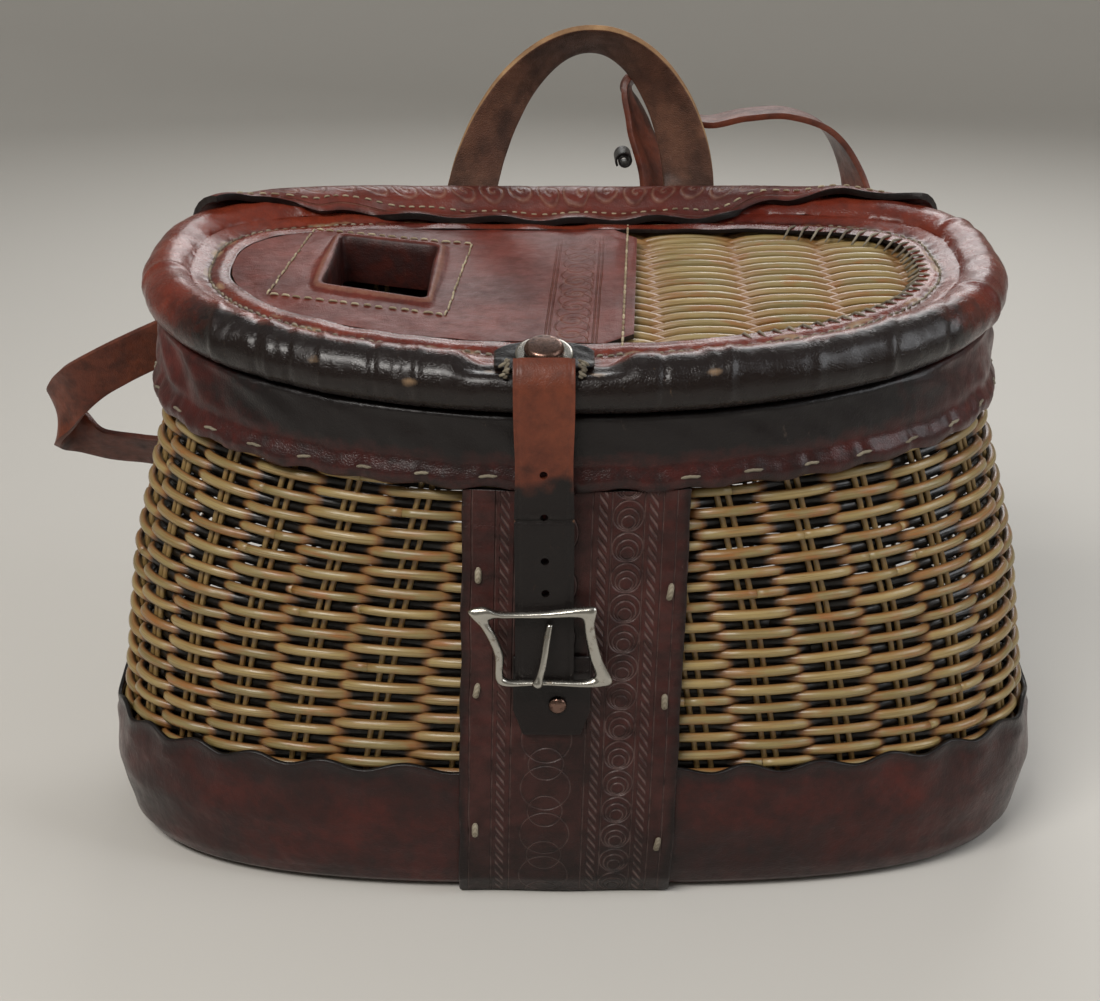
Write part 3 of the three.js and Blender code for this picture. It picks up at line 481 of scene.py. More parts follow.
def add(tree, kind, *values, **named):
    """Adds one shader node. values fill its open sockets in order, and a node or a socket is linked.

    A name in small letters is a setting of the node, and one with a capital is a socket.
    """
    made = tree.nodes.new("ShaderNode" + kind)
    for key in [key for key in named if key.islower()]:
        setattr(made, key, named.pop(key))
    sockets = [socket for socket in made.inputs if socket.enabled][:len(values)]
    sockets += [made.inputs[key.replace("_", " ")] for key in named]
    for socket, value in zip(sockets, (*values, *named.values())):
        if isinstance(value, bpy.types.Node):
            value = next(output for output in value.outputs if output.enabled)
        if isinstance(value, bpy.types.NodeSocket):
            tree.links.new(value, socket)
        else:
            socket.default_value = value
    return made


def start_material(name):
    """A new material, the function that adds a node to it, and the place on the object."""
    material = bpy.data.materials.new(name)
    material.use_nodes = True
    material.node_tree.nodes.clear()
    node = partial(add, material.node_tree)
    return material, node, node("TexCoord").outputs["Object"]


def cloud(node, place, size, detail=3.0, rough_share=0.55, stretch=(1, 1, 1), seed=0.0):
    """Noise from 0 to 1 with lumps about size metres wide, and longer where stretch is under 1."""
    moved = node("Mapping", Vector=place, Location=(seed, seed, seed), Scale=stretch)
    return node("TexNoise", Vector=moved, Scale=1 / size, Detail=detail, Roughness=rough_share)


def finish_material(node, base, roughness, height, depth, **surface):
    """Joins colour, roughness and relief to the surface. height is a share of depth, in metres."""
    relief = node("Bump", Height=height, Distance=depth, Strength=1.0)
    shade = node("BsdfPrincipled", Base_Color=base, Roughness=roughness, Normal=relief, **surface)
    node("OutputMaterial", Surface=shade)


# Sizes of the leather's own marks, in metres
PORE = 0.0009
WRINKLE = 0.0045
CREASE = 0.006
SCUFF = 0.003
CLOUD = 0.035
LEATHER_RELIEF = 0.0006


def leather(fresh, deep, dark, raw, name, gloss=0.4, coat=0.35, tooling=None, pore_depth=0.00005):
    """Vegetable-tanned cowhide, waxed and handled for years: cloudy, with fine pores and soft creases.

    fresh and deep are the cloudy dye, dark its blackened patina and the colour of the painted shade that some
    pieces carry with it, raw the rubbed or cut fibre.
    tooling(node) gives the grooves that are pressed into it, as a height from 0 to 1.
    """
    material, node, place = start_material(name)
    patina = node("Attribute", attribute_name="patina").outputs["Fac"]
    rub = node("Attribute", attribute_name="rub").outputs["Fac"]
    cloudy = node("MapRange", cloud(node, place, CLOUD, 4.0), 0.38, 0.66)
    blotch = node("MapRange", cloud(node, place, CREASE, 5.0, 0.65, seed=3.0), 0.4, 0.72)
    dye = node("Mix", cloudy, colour(fresh), colour(deep), data_type="RGBA")
    blotched = node("Math", blotch, 0.45, operation="MULTIPLY")
    dye = node("Mix", blotched, dye, colour(dark), data_type="RGBA")
    # The darkening towards dark: real patina from handling, and painted shade where a piece's marks put it.
    handled = node("MapRange", node("Math", blotch, 0.25, patina, operation="MULTIPLY_ADD"), 0.2, 0.95)
    handled = node("Math", handled, node("MapRange", patina, 0.0, 0.25), operation="MULTIPLY")
    dye = node("Mix", handled, dye, colour(dark), data_type="RGBA")
    scuff = cloud(node, place, SCUFF, 6.0, 0.75, stretch=(1, 1, 0.35), seed=7.0)
    scuffed = node("Math", node("MapRange", scuff, 0.64, 0.74), 0.2, operation="MULTIPLY")
    worn = node("MapRange", node("Math", scuff, 0.5, rub, operation="MULTIPLY_ADD"), 0.55, 0.9)
    bare = node("Math", scuffed, worn, operation="MAXIMUM")
    dye = node("Mix", bare, dye, colour(raw), data_type="RGBA")
    pores = node("TexVoronoi", feature="DISTANCE_TO_EDGE", Vector=place, Scale=1 / PORE)
    pore = node("MapRange", pores.outputs["Distance"], 0.0, 0.25)
    height = node("Math", pore, pore_depth / LEATHER_RELIEF, operation="MULTIPLY")
    soft = cloud(node, place, WRINKLE, 4.0, 0.5, seed=11.0)
    height = node("Math", soft, 0.7, height, operation="MULTIPLY_ADD")
    if tooling:
        groove = tooling(node)
        height = node("Math", groove, -0.9, height, operation="MULTIPLY_ADD")
        dusty = node("Math", groove, node("MapRange", blotch, 0.9, 0.0), operation="MULTIPLY")
        dusty = node("Math", dusty, 0.42, operation="MULTIPLY")
        dye = node("Mix", dusty, dye, colour(raw), data_type="RGBA")
    uneven = node("Math", blotch, 0.16, gloss - 0.06, operation="MULTIPLY_ADD")
    roughness = node("Math", bare, 0.3, uneven, operation="MULTIPLY_ADD")
    finish_material(node, dye, roughness, height, LEATHER_RELIEF,
                    Coat_Weight=coat, Coat_Roughness=0.2, IOR=1.4, Specular_IOR_Level=0.35)
    return material


# Sizes of the willow's own marks along a rod, in metres
BARK_PATCH = 0.012
WOOD_FIBRE = 0.0016


def willow(name):
    """Whole willow rods, varnished: straw and olive with orange-brown stretches, long fine fibres, and painted
    shade where they pass behind or face the inside.
    """
    material, node, _ = start_material(name)
    grain = node("Attribute", attribute_name="grain").outputs["Vector"]
    tone = node("Attribute", attribute_name="tone").outputs["Fac"]
    stain_and_painted_shade = node("Attribute", attribute_name="stain_and_painted_shade").outputs["Fac"]
    patch = node("MapRange", cloud(node, grain, BARK_PATCH, 3.0, stretch=(1, 3, 3)), 0.46, 0.66)
    patch = node("Math", patch, node("MapRange", tone, 0.0, 0.8), operation="MULTIPLY")
    fibre = cloud(node, grain, WOOD_FIBRE, 3.0, 0.6, stretch=(0.06, 3, 3), seed=5.0)
    streak = node("Math", node("MapRange", fibre, 0.48, 0.62), 0.55, operation="MULTIPLY")
    straw = node("Mix", tone, colour("#a08a58"), colour("#84754a"), data_type="RGBA")
    straw = node("Mix", patch, straw, colour("#93602f"), data_type="RGBA")
    straw = node("Mix", streak, straw, colour("#6b5526"), data_type="RGBA")
    # Orange-brown stain, then painted shade towards near-black, where a rod passes behind or faces the inside.
    straw = node("Mix", node("MapRange", stain_and_painted_shade, 0.0, 0.4), straw, colour("#875a2f"), data_type="RGBA")
    straw = node("Mix", node("MapRange", stain_and_painted_shade, 0.3, 0.85), straw, colour("#0d0905"), data_type="RGBA")
    roughness = node("Math", fibre, 0.3, 0.22, operation="MULTIPLY_ADD")
    finish_material(node, straw, roughness, fibre, 0.0003, Coat_Weight=0.5, Coat_Roughness=0.22, IOR=1.5)
    return material


def nickel(bright, tarnish, share, name):
    """Nickel-plated steel wire or plate, handled dull: soft grey shine, brown in cloudy spots."""
    material, node, place = start_material(name)
    spots = node("MapRange", cloud(node, place, 0.004, 5.0, 0.7), share, share + 0.2)
    fine = cloud(node, place, 0.0008, 4.0, 0.7, seed=2.0)
    base = node("Mix", spots, colour(bright), colour(tarnish), data_type="RGBA")
    roughness = node("Math", spots, 0.25, 0.1, operation="MULTIPLY_ADD")
    roughness = node("Math", fine, 0.25, roughness, operation="MULTIPLY_ADD")
    finish_material(node, base, roughness, fine, 0.00005, Metallic=1.0)
    return material


def waxed_thread(light, soiled, name):
    """Waxed linen thread and thin lace: matt, soiled, twisted at a steep slant."""
    material, node, _ = start_material(name)
    grain = node("Attribute", attribute_name="grain").outputs["Vector"]
    tone = node("Attribute", attribute_name="tone").outputs["Fac"]
    twist = node("TexWave", bands_direction="DIAGONAL", Vector=grain, Scale=450.0).outputs[1]
    base = node("Mix", tone, colour(light), colour(soiled), data_type="RGBA")
    shaded = node("Math", twist, 0.35, operation="MULTIPLY")
    base = node("Mix", shaded, base, colour("#4a3a2c"), data_type="RGBA")
    finish_material(node, base, 0.7, twist, 0.0001)
    return material


# Tooling: grooves from 0 to 1, drawn on a piece's UV map, in metres


def cut_place(node):
    """The two lengths across and along a piece's own cut."""
    both = node("SeparateXYZ", node("UVMap", uv_map="cut"))
    return both.outputs[0], both.outputs[1]


def apart(node, length, where=0.0):
    """How far a length is from a place, either way."""
    return node("Math", node("Math", length, where, operation="SUBTRACT"), operation="ABSOLUTE")


def groove_at(node, length, where, width=0.0006):
    """A straight groove where a length is passed."""
    return node("MapRange", apart(node, length, where), width, 0.0)


def cells(node, length, period, shift=0.0):
    """A length counted from the middle of each of a row of cells."""
    counted = node("Math", node("Math", length, period, operation="DIVIDE"), shift, operation="ADD")
    share = node("Math", node("Math", counted, operation="FRACT"), 0.5, operation="SUBTRACT")
    return node("Math", share, period, operation="MULTIPLY")


def distance(node, x, y):
    """How far a point is from the middle of its cell."""
    squares = node("Math", y, y, node("Math", x, x, operation="MULTIPLY"), operation="MULTIPLY_ADD")
    return node("Math", squares, operation="SQRT")


def ring_row(node, along, across, period, radius, shift=0.0, width=0.0006):
    """A row of pressed rings, which overlap where the radius passes half the period."""
    return groove_at(node, distance(node, cells(node, along, period, shift), across), radius, width)


def scroll_row(node, along, across, period, width=0.28):
    """A running scroll: a spiral in each cell, joined by its outer turn."""
    x = cells(node, along, period)
    far = distance(node, x, across)
    turn = node("Math", node("Math", across, x, operation="ARCTAN2"), 2 * math.pi, operation="DIVIDE")
    winding = node("Math", node("Math", far, 0.3 * period, operation="DIVIDE"), turn, operation="SUBTRACT")
    line = groove_at(node, node("Math", winding, operation="FRACT"), 0.5, width)
    kept = node("MapRange", far, 0.55 * period, 0.48 * period)
    return node("Math", line, kept, operation="MULTIPLY")


def rope_row(node, along, across, where, width, period):
    """A rope border: slanted strokes between two lines."""
    off = node("Math", across, where, operation="SUBTRACT")
    leant = node("Math", off, 0.7 * period, operation="DIVIDE")
    slant = node("Math", node("Math", along, period, operation="DIVIDE"), leant, operation="ADD")
    stroke = node("MapRange", apart(node, node("Math", slant, operation="FRACT"), 0.5), 0.3, 0.1)
    inside = node("MapRange", apart(node, off), width / 2, 0.4 * width)
    return node("Math", stroke, inside, operation="MULTIPLY")


def all_of(node, *grooves):
    deepest = grooves[0]
    for groove in grooves[1:]:
        deepest = node("Math", deepest, groove, operation="MAXIMUM")
    return deepest


# Willow: the woven wall, its stakes and the woven half of the lid

WEAVE_OUT = -0.0042
WEAVE_NIP = 0.0003
WEAVE_SQUARE = 1.7
RING_RISE = 0.0011
BACK_SWELL = 0.25
RODS_A_RING = 3
STEPS_A_PAIR = 7
STAKE_STEPS = 12
STAKE_APART = 0.0019
PAIR_PHASE = 0.5
PAIR_SLIP = 0.33


def pair_share(pair):
    """A stake pair's share of the way round. The pairs right of the panel stand closer to it."""
    share = (pair + PAIR_PHASE) / STAKE_PAIRS
    slip = PAIR_SLIP * smooth(share, 0.76, 0.82) * (1 - smooth(share, 0.9, 0.99))
    return share - slip / STAKE_PAIRS


PAIR_SHARES = [pair_share(pair) for pair in range(STAKE_PAIRS)]
PAIR_SHARES = [PAIR_SHARES[-1] - 1] + PAIR_SHARES + [PAIR_SHARES[0] + 1]


def pair_count(share):
    """How many stake pairs have been passed at a share of the way round, as a smooth number."""
    share %= 1.0
    i = 1
    while i < len(PAIR_SHARES) - 1 and PAIR_SHARES[i] < share:
        i += 1
    return i - 2 + (share - PAIR_SHARES[i - 1]) / (PAIR_SHARES[i] - PAIR_SHARES[i - 1])


def weave_wall(props):
    """Plain randing: each ring passes in front of one stake pair and behind the next."""
    draw = random.Random(4)
    sway = props.stake_radius + props.rod_radius - WEAVE_NIP
    low, high = BASE_HEIGHT - 0.008, COLLAR_BOTTOM + 0.009
    rings = int((high - low) / props.ring_pitch) + 1
    steps = STAKE_PAIRS * STEPS_A_PAIR
    runs = []
    for ring in range(rings):
        height = low + ring * props.ring_pitch
        cuts = sorted(draw.uniform(0, 1) for _ in range(RODS_A_RING))
        for first, last in zip(cuts, cuts[1:] + [cuts[0] + 1]):
            count = max(3, int((last - first) * steps))
            tone, butt = draw.random(), draw.uniform(1.0, 1.1)
            points, radii, stain_and_painted_shade, inwards = [], [], [], []
            for step in range(count + 1):
                share = mix(first, last, step / count)
                beat = math.cos(math.pi * (pair_count(share) + ring))
                swing = math.tanh(WEAVE_SQUARE * beat) / math.tanh(WEAVE_SQUARE)
                sag = 0.00035 * noise.noise(Vector((share * 40, ring * 3.1, 0)))
                angle = angle_at(share)
                drift = 0.0007 * math.sin(share * 19 + ring * 0.15) * smooth(height, 0.05, 0.1)
                level = height + sag + drift + RING_RISE * swing
                points.append(wall_point(angle, level, WEAVE_OUT + sway * swing))
                inwards.append(Vector((-math.cos(angle), -math.sin(angle), 0)))
                end = min(step, count - step) / count
                radii.append(props.rod_radius * mix(0.93, butt, smooth(end, 0.0, 0.3)))
                radii[-1] *= 1 + BACK_SWELL * smooth(-swing, 0.2, 0.9)
                # Orange-brown stain where the rod turns, then painted shade towards black where it passes
                # behind a stake pair.
                stain_and_painted_shade.append(smooth(-swing, -0.35, 0.75))
            runs.append({"points": points, "radii": radii, "stain_and_painted_shade": stain_and_painted_shade, "tone": tone, "start": ring * 1.3,
                         "inwards": inwards})
    return rods("basket_weave", runs)


def stake_pairs(props):
    draw = random.Random(9)
    runs = []
    for share in PAIR_SHARES[1:-1]:
        for side in (-1, 1):
            lean = draw.uniform(-0.0006, 0.0006)
            points = []
            for step in range(STAKE_STEPS + 1):
                height = mix(BASE_HEIGHT - 0.01, BODY_HEIGHT - 0.006, step / STAKE_STEPS)
                aside = side * STAKE_APART + lean * math.sin(height * 40)
                points.append(wall_point(angle_at((share + aside / ARC[-1]) % 1.0), height, WEAVE_OUT))
            runs.append({"points": points, "radii": [props.stake_radius] * len(points),
                         "stain_and_painted_shade": [0.12] * len(points), "tone": draw.uniform(0.1, 0.5)})
    return rods("basket_stakes", runs, sides=6)


def basket_floor():
    """The woven bottom, a dished board of rods that shows only through the fish hole."""
    def surface(u, v):
        point = wall_point(2 * math.pi * u, 0.006, -0.004)
        ripple = 0.0009 * math.cos(2 * math.pi * 14 * v) * math.cos(60 * math.pi * u)
        return Vector((0, 0, 0.0095 + ripple)) + Vector((point.x, point.y, 0)) * (1 - v)
    return sheet("basket_floor", 120, 56, surface, (0.8, 0.08), leather=0.004, closed=True)


LID_ROD_PITCH = 0.0031
LID_STAKES = (-0.115, -0.081, -0.048, -0.015, 0.0125, 0.045, 0.0785, 0.1105, 0.136)


def lid_count(x):
    """How many of the lid's stakes lie left of x, as a smooth number."""
    i = 1
    while i < len(LID_STAKES) - 1 and LID_STAKES[i] < x:
        i += 1
    return i - 1 + (x - LID_STAKES[i - 1]) / (LID_STAKES[i] - LID_STAKES[i - 1])


def in_hole(x, y, clear):
    return abs(x - HOLE_X) < HOLE_WIDTH / 2 + clear and abs(y - HOLE_Y) < HOLE_LENGTH / 2 + clear


def weave_lid(props):
    """The lid's rods run from side to side, over and under its front-to-back stakes."""
    draw = random.Random(12)
    edge = -ROLL_RADIUS - 0.0012
    radius = 0.92 * props.rod_radius
    runs = []
    row, y = 0, -TOP.front - 0.01
    while y < TOP.back:
        y += LID_ROD_PITCH
        row += 1
        points, radii, stain_and_painted_shade, tone = [], [], [], draw.random()
        for step in range(130):
            x = -0.15 + step * 0.0023
            here = y + 0.0006 * noise.noise(Vector((x * 30, row * 2.3, 5)))
            if lid_reach(x, here, edge) > 1 or in_hole(x, here, 0.004):
                if len(points) > 4:
                    runs.append({"points": points, "radii": radii, "stain_and_painted_shade": stain_and_painted_shade, "tone": tone})
                points, radii, stain_and_painted_shade = [], [], []
                continue
            beat = math.cos(math.pi * (lid_count(x) + row))
            swing = math.tanh(1.3 * beat) / math.tanh(1.3)
            up = -radius + 0.0004 - 0.0021 * (1 - swing)
            points.append(Vector((x, here, lid_top(x, here) + up)))
            radii.append(radius * draw.uniform(0.97, 1.03))
            # Painted shade where the rod dips under a stake, with an orange-brown stain.
            stain_and_painted_shade.append(0.32 - 0.32 * swing)
        if len(points) > 4:
            runs.append({"points": points, "radii": radii, "stain_and_painted_shade": stain_and_painted_shade, "tone": tone})
    return rods("lid_weave", runs)


def lid_stakes(props):
    draw = random.Random(15)
    edge = -ROLL_RADIUS - 0.0012
    runs = []
    for where in LID_STAKES:
        for side in (-1, 1):
            points = []
            for step in range(50):
                x, y = where + side * 0.0021, -0.09 + step * 0.0036
                if lid_reach(x, y, edge) < 1 and not in_hole(x, y, 0.004):
                    points.append(Vector((x, y, lid_top(x, y) - 0.0038)))
            jumps = [i for i in range(1, len(points)) if points[i].y - points[i - 1].y > 0.01]
            gap_at = jumps[0] if jumps else len(points)
            for part in (points[:gap_at], points[gap_at:]):
                if len(part) > 2:
                    # The stakes lie under the rods: orange-brown stain and some painted shade.
                    runs.append({"points": part, "radii": [props.stake_radius] * len(part),
                                 "stain_and_painted_shade": [0.5] * len(part), "tone": draw.uniform(0.2, 0.6)})
    return rods("lid_stakes", runs, sides=6)


# Leather on the basket

BASE_CORNER = 0.0045
SEAT = 0.0


def base_wrap():
    """One moulded cup of leather, with its top edge pulled down over each stake pair."""
    corner = [(BASE_CORNER * (1 - math.cos(a)), -BASE_CORNER * (1 - math.sin(a)))
              for a in (0.0, 0.4, 0.8, 1.2, math.pi / 2)]
    under = [(0.0, reach) for reach in (0.0, 0.3, 0.6, 0.8, 0.92)]
    rise = [BASE_CORNER + (BASE_HEIGHT - BASE_CORNER) * step / 22 for step in range(1, 23)]
    rows = len(under) + len(corner) + len(rise) - 1

    def surface(u, v):
        angle = angle_at(u)
        row = round(v * rows)
        if row < len(under):
            point = wall_point(angle, 0, LEATHER_OUT - BASE_CORNER) * under[row][1]
            return Vector((point.x, point.y, SEAT))
        if row < len(under) + len(corner):
            up, out = corner[row - len(under)]
            return wall_point(angle, up, LEATHER_OUT + out)
        height = rise[row - len(under) - len(corner)]
        share = height / BASE_HEIGHT
        wave = -0.55 * BASE_WAVE * math.cos(2 * math.pi * pair_count(u)) * smooth(share, 0.72, 1.0)
        ragged = 0.0004 * rough((u * 3, 0, 0), 0.03)
        point = wall_point(angle, height + wave + ragged, LEATHER_OUT)
        ripple = 0.0008 * math.cos(2 * math.pi * pair_count(u)) * bump(share, 0.88, 0.1)
        dent = 0.0007 * rough(point, 0.028) + 0.0004 * rough(point, 0.011, 2.0)
        lip = 0.0007 * bump(share, 0.985, 0.025) - 0.0006 * bump(share, 0.93, 0.03)
        soft = (dent + ripple) * smooth(share, 0.12, 0.3) + lip
        return wall_point(angle, height + wave, LEATHER_OUT + soft - 0.0008)

    def marks(u, v):
        height = max(0.0, v * rows - len(under) - len(corner)) / len(rise)
        patch = 0.35 * rough((u * 30, v * 3, 0), 1.0)
        return {"patina": 0.35 + patch + 0.5 * smooth(height, 0.75, 1.0),
                "rub": 0.25 * bump(height, 0.15, 0.1) * (patch > 0)}

    return sheet("base_leather", 600, rows, surface, (1.0, 0.08), leather=0.0018, closed=True, marks=marks)


COLLAR_STITCHES = 38
COLLAR_TUCK = 0.25


def collar_place(u, v):
    """The collar's outer face: v runs from its lower edge to the lid, and past 1 folds in over the basket."""
    angle = angle_at(u)
    front = max(0.0, -math.sin(angle))
    low = 0.0009 * rough((u * 30, 0, 0), 1.0) + 0.0006 * math.cos(2 * math.pi * COLLAR_STITCHES * u)
    height = COLLAR_BOTTOM + v * COLLAR_HEIGHT + low * (1 - v)
    stitch = math.cos(2 * math.pi * COLLAR_STITCHES * u)
    if v > 1:
        fold_out = mix(COLLAR_OUT, -0.009, (v - 1) / COLLAR_TUCK)
        return wall_point(angle, BODY_HEIGHT, fold_out) + Vector((0, 0, 0.0002))
    hem = 0.0017 * bump(v, 0.12, 0.12) - 0.0006 * bump(v, 0.34, 0.08)
    pull = -0.0008 * max(0.0, stitch) ** 6 * bump(v, 0.15, 0.16)
    slant = u * 60 + v * 2.2
    fold = COLLAR_PUCKER * noise.noise(Vector((slant, v * 1.6, 1.0)))
    fold *= smooth(v, 0.2, 0.5) * (1 - smooth(v, 0.85, 1.0))
    fold *= 1.25 - 0.7 * smooth(front, 0.55, 0.9)
    lumps = 0.0007 * noise.noise(Vector((u * 160, v * 3, 4.0)))
    return wall_point(angle, height, COLLAR_OUT + 0.0006 + hem + pull + fold + lumps * (1 - v))


def collar():
    def marks(u, v):
        front = max(0.0, -math.sin(angle_at(u)))
        # Black in front and darker towards the lid: partly patina, partly painted shadow under the lid's rolled
        # edge.
        black = smooth(front, 0.35, 0.85) * (0.45 + 0.55 * smooth(v, 0.25, 0.5))
        worn = 0.3 * bump(v, 0.12, 0.1) * max(0.0, noise.noise(Vector((u * 90, 0, 8))))
        return {"patina": 0.25 + 0.75 * black, "rub": 1.6 * worn}
    def surface(u, v):
        return collar_place(u, (1 + COLLAR_TUCK) * v)
    return sheet("collar_leather", 720, 36, surface, (1.0, COLLAR_HEIGHT), leather=0.002, closed=True,
                 marks=marks)


def collar_thread():
    """Short light stitches in the collar's hem, sunk where they enter."""
    runs = []
    draw = random.Random(21)
    for k in range(COLLAR_STITCHES):
        middle = k / COLLAR_STITCHES + draw.uniform(-0.001, 0.001)
        if abs(middle - 0.75) < 0.035:
            continue
        half = draw.uniform(0.0022, 0.0032)
        points = []
        for part in (-1, -0.5, 0, 0.5, 1):
            u = middle + part * half / ARC[-1] * 1.2
            point = collar_place(u % 1.0, 0.16)
            out = (collar_place(u % 1.0, 0.16) - Vector((0, 0, point.z))).normalized()
            points.append(point + out * (0.0002 - 0.0009 * part ** 4) + Vector((0, 0, 0.0003 * part)))
        runs.append(thread(points, 0.00055, draw.uniform(0.2, 0.9)))
    return rods("collar_stitches", runs, sides=6)


# Front panel, closure strap and buckle


def panel_out(height):
    over_base = BASE_HEIGHT + BASE_WAVE + GAP
    return mix(LEATHER_OUT + GAP, 2 * GAP, smooth(height, over_base, over_base + 0.025))


def panel_point(x, height, out):
    return face_point(x, height, panel_out(height) + out, -1)


PANEL_TOP = COLLAR_BOTTOM - 2 * GAP


def panel_place(u, v):
    height = mix(0.0006, PANEL_TOP, v)
    x = PANEL_WIDTH * (u - 0.5) - PANEL_SHIFT * (1 - v)
    aside = abs(u - 0.5) * 2
    curl = 0.0007 * smooth(aside, 0.88, 1.0) * noise.noise(Vector((u * 2, v * 7, 3)))
    wave = 0.0006 * noise.noise(Vector((u * 3, v * 5, 9)))
    rib = 0.00035 * math.cos(2 * math.pi * height / 0.0072) * smooth(height, BASE_HEIGHT, BASE_HEIGHT + 0.01)
    x += 0.0006 * noise.noise(Vector((0, v * 9, u * 2))) * smooth(aside, 0.8, 1.0)
    return panel_point(x, height, PANEL_LEATHER + curl + wave + rib * aside)


def front_panel():
    def marks(u, v):
        edge = smooth(abs(u - 0.5) * 2, 0.9, 1.0)
        dark = 0.3 + 0.4 * smooth(0.5 - abs(u - 0.47), 0.2, 0.45) * bump(v, 0.42, 0.22) + 0.5 * edge
        # Painted shadow: near-black where the buckle's frame and the strap shade the panel.
        dark += 0.9 * bump(u, 0.41, 0.15) * bump(v, (BUCKLE_Z - 0.002) / PANEL_TOP, 0.07)
        return {"patina": dark + 0.5 * (1 - smooth(v, 0.0, 0.3)), "rub": 0.3 * edge}
    return sheet("panel_leather", 60, 120, panel_place, (PANEL_WIDTH, 0.157), leather=0.0022, marks=marks)


# Heights and sides of the laces that tie the panel to the weave
PANEL_LACES = (
    (-1, 0.128), (-1, 0.085), (-1, 0.03), (1, 0.122), (1, 0.081), (1, 0.024),
)


def panel_laces():
    runs = []
    for i, (side, height) in enumerate(PANEL_LACES):
        u = 0.5 + side * 0.425
        points = []
        for part in (-1, -0.6, 0, 0.6, 1):
            v = (height + part * 0.0029) / PANEL_TOP
            point = panel_place(u + 0.006 * part * (i % 2), v)
            points.append(point + Vector((0, -0.0006 + 0.0016 * part ** 4, 0)))
        runs.append(thread(points, 0.00115, 0.15 * i))
    return rods("panel_laces", runs)


CHAPE_OUT = PANEL_LEATHER + GAP
CLOSURE_OUT = CHAPE_OUT + CHAPE_LEATHER + GAP
FRAME_OUT = CLOSURE_OUT + CLOSURE_LEATHER + GAP + BUCKLE_WIRE / 2


def roll_middle():
    front = face_point(LATCH_X, BODY_HEIGHT, -RIM_INSET, -1)
    return Vector((LATCH_X, front.y, lid_plane(LATCH_X, front.y)))


def closure_route():
    """The closure strap's under side, from the slot over the roll down to its end behind the buckle."""
    middle = roll_middle()
    over = []
    for turn in (58, 46, 34, 20, 5):
        lean = math.radians(turn)
        over.append(middle + ROLL_CLEAR * Vector((0, -math.cos(lean), math.sin(lean))))
    hang = over[-1] + Vector((0, 0, -ROLL_RADIUS))
    low = [panel_point(LATCH_X, BUCKLE_Z + share * BUCKLE_HEIGHT, CLOSURE_OUT) for share in (0.65, 0, -0.68)]
    return over + [hang, hang.lerp(low[0], 0.55)] + low


CLOSURE_LENGTH = 0.1177
CLOSURE_HOLES = (0.0378, 0.0530, 0.0692, 0.0813)
CLOSURE_CREASE = 0.0545


CLOSURE_WAY = evenly(closure_route(), 240)


def closure_place(u, v):
    at = spline_at(CLOSURE_WAY, v)
    ahead = (spline_at(CLOSURE_WAY, min(v + 0.01, 1)) - spline_at(CLOSURE_WAY, max(v - 0.01, 0))).normalized()
    out = -Vector((1, 0, 0)).cross(ahead)
    aside = abs(u - 0.5) * 2
    crown = CLOSURE_LEATHER - 0.0004 * smooth(aside, 0.7, 1.0)
    down = v * CLOSURE_LENGTH
    crown += 0.0004 * bump(down, CLOSURE_CREASE - 0.002, 0.0022) - 0.0007 * bump(down, CLOSURE_CREASE, 0.0009)
    crown -= 0.0003 * bump(aside, 0.86, 0.05)
    x = (u - 0.5) * CLOSURE_WIDTH * (1 - 0.05 * bump(v, 0.3, 0.1))
    return at + Vector((x, 0, 0)) + out * crown


def closure_strap():
    def marks(u, v):
        down = v * CLOSURE_LENGTH
        black = smooth(down + 0.006 * noise.noise(Vector((u * 3, v * 25, 0))), 0.034, 0.047)
        worn = 0.2 * bump(down, CLOSURE_CREASE, 0.0008) + 0.25 * smooth(abs(u - 0.5), 0.44, 0.5)
        return {"patina": 0.02 + 0.98 * black, "rub": worn}
    holes = [(0.5 + 0.01 * (i - 1), hole / CLOSURE_LENGTH) for i, hole in enumerate(CLOSURE_HOLES)]
    return sheet("closure_leather", 40, 250, closure_place, (CLOSURE_WIDTH, CLOSURE_LENGTH), marks=marks,
                 leather=CLOSURE_LEATHER - 0.0004, flip=True, holes=holes, hole_radius=0.0014)


# Buckle: outer and inner outline as shares of its width and height, from the middle of the top bar round
FRAME_OUTER = (
    (0.0, 0.50), (0.38, 0.56), (0.50, 0.55), (0.49, 0.30), (0.56, -0.15), (0.66, -0.50), (0.56, -0.55),
    (0.0, -0.53), (-0.40, -0.53), (-0.45, -0.45), (-0.46, -0.10), (-0.58, 0.28), (-0.70, 0.50), (-0.55, 0.56),
    (-0.42, 0.50),
)
FRAME_INNER = (
    (0.0, 0.41), (0.34, 0.41), (0.37, 0.38), (0.39, 0.20), (0.44, -0.15), (0.49, -0.40), (0.44, -0.45),
    (0.0, -0.46), (-0.33, -0.45), (-0.37, -0.41), (-0.37, -0.10), (-0.44, 0.18), (-0.50, 0.36), (-0.46, 0.40),
    (-0.36, 0.41),
)


def frame_point(across, along, out):
    return panel_point(BUCKLE_X, BUCKLE_Z, out) + Vector((across * BUCKLE_WIDTH, 0, along * BUCKLE_HEIGHT))


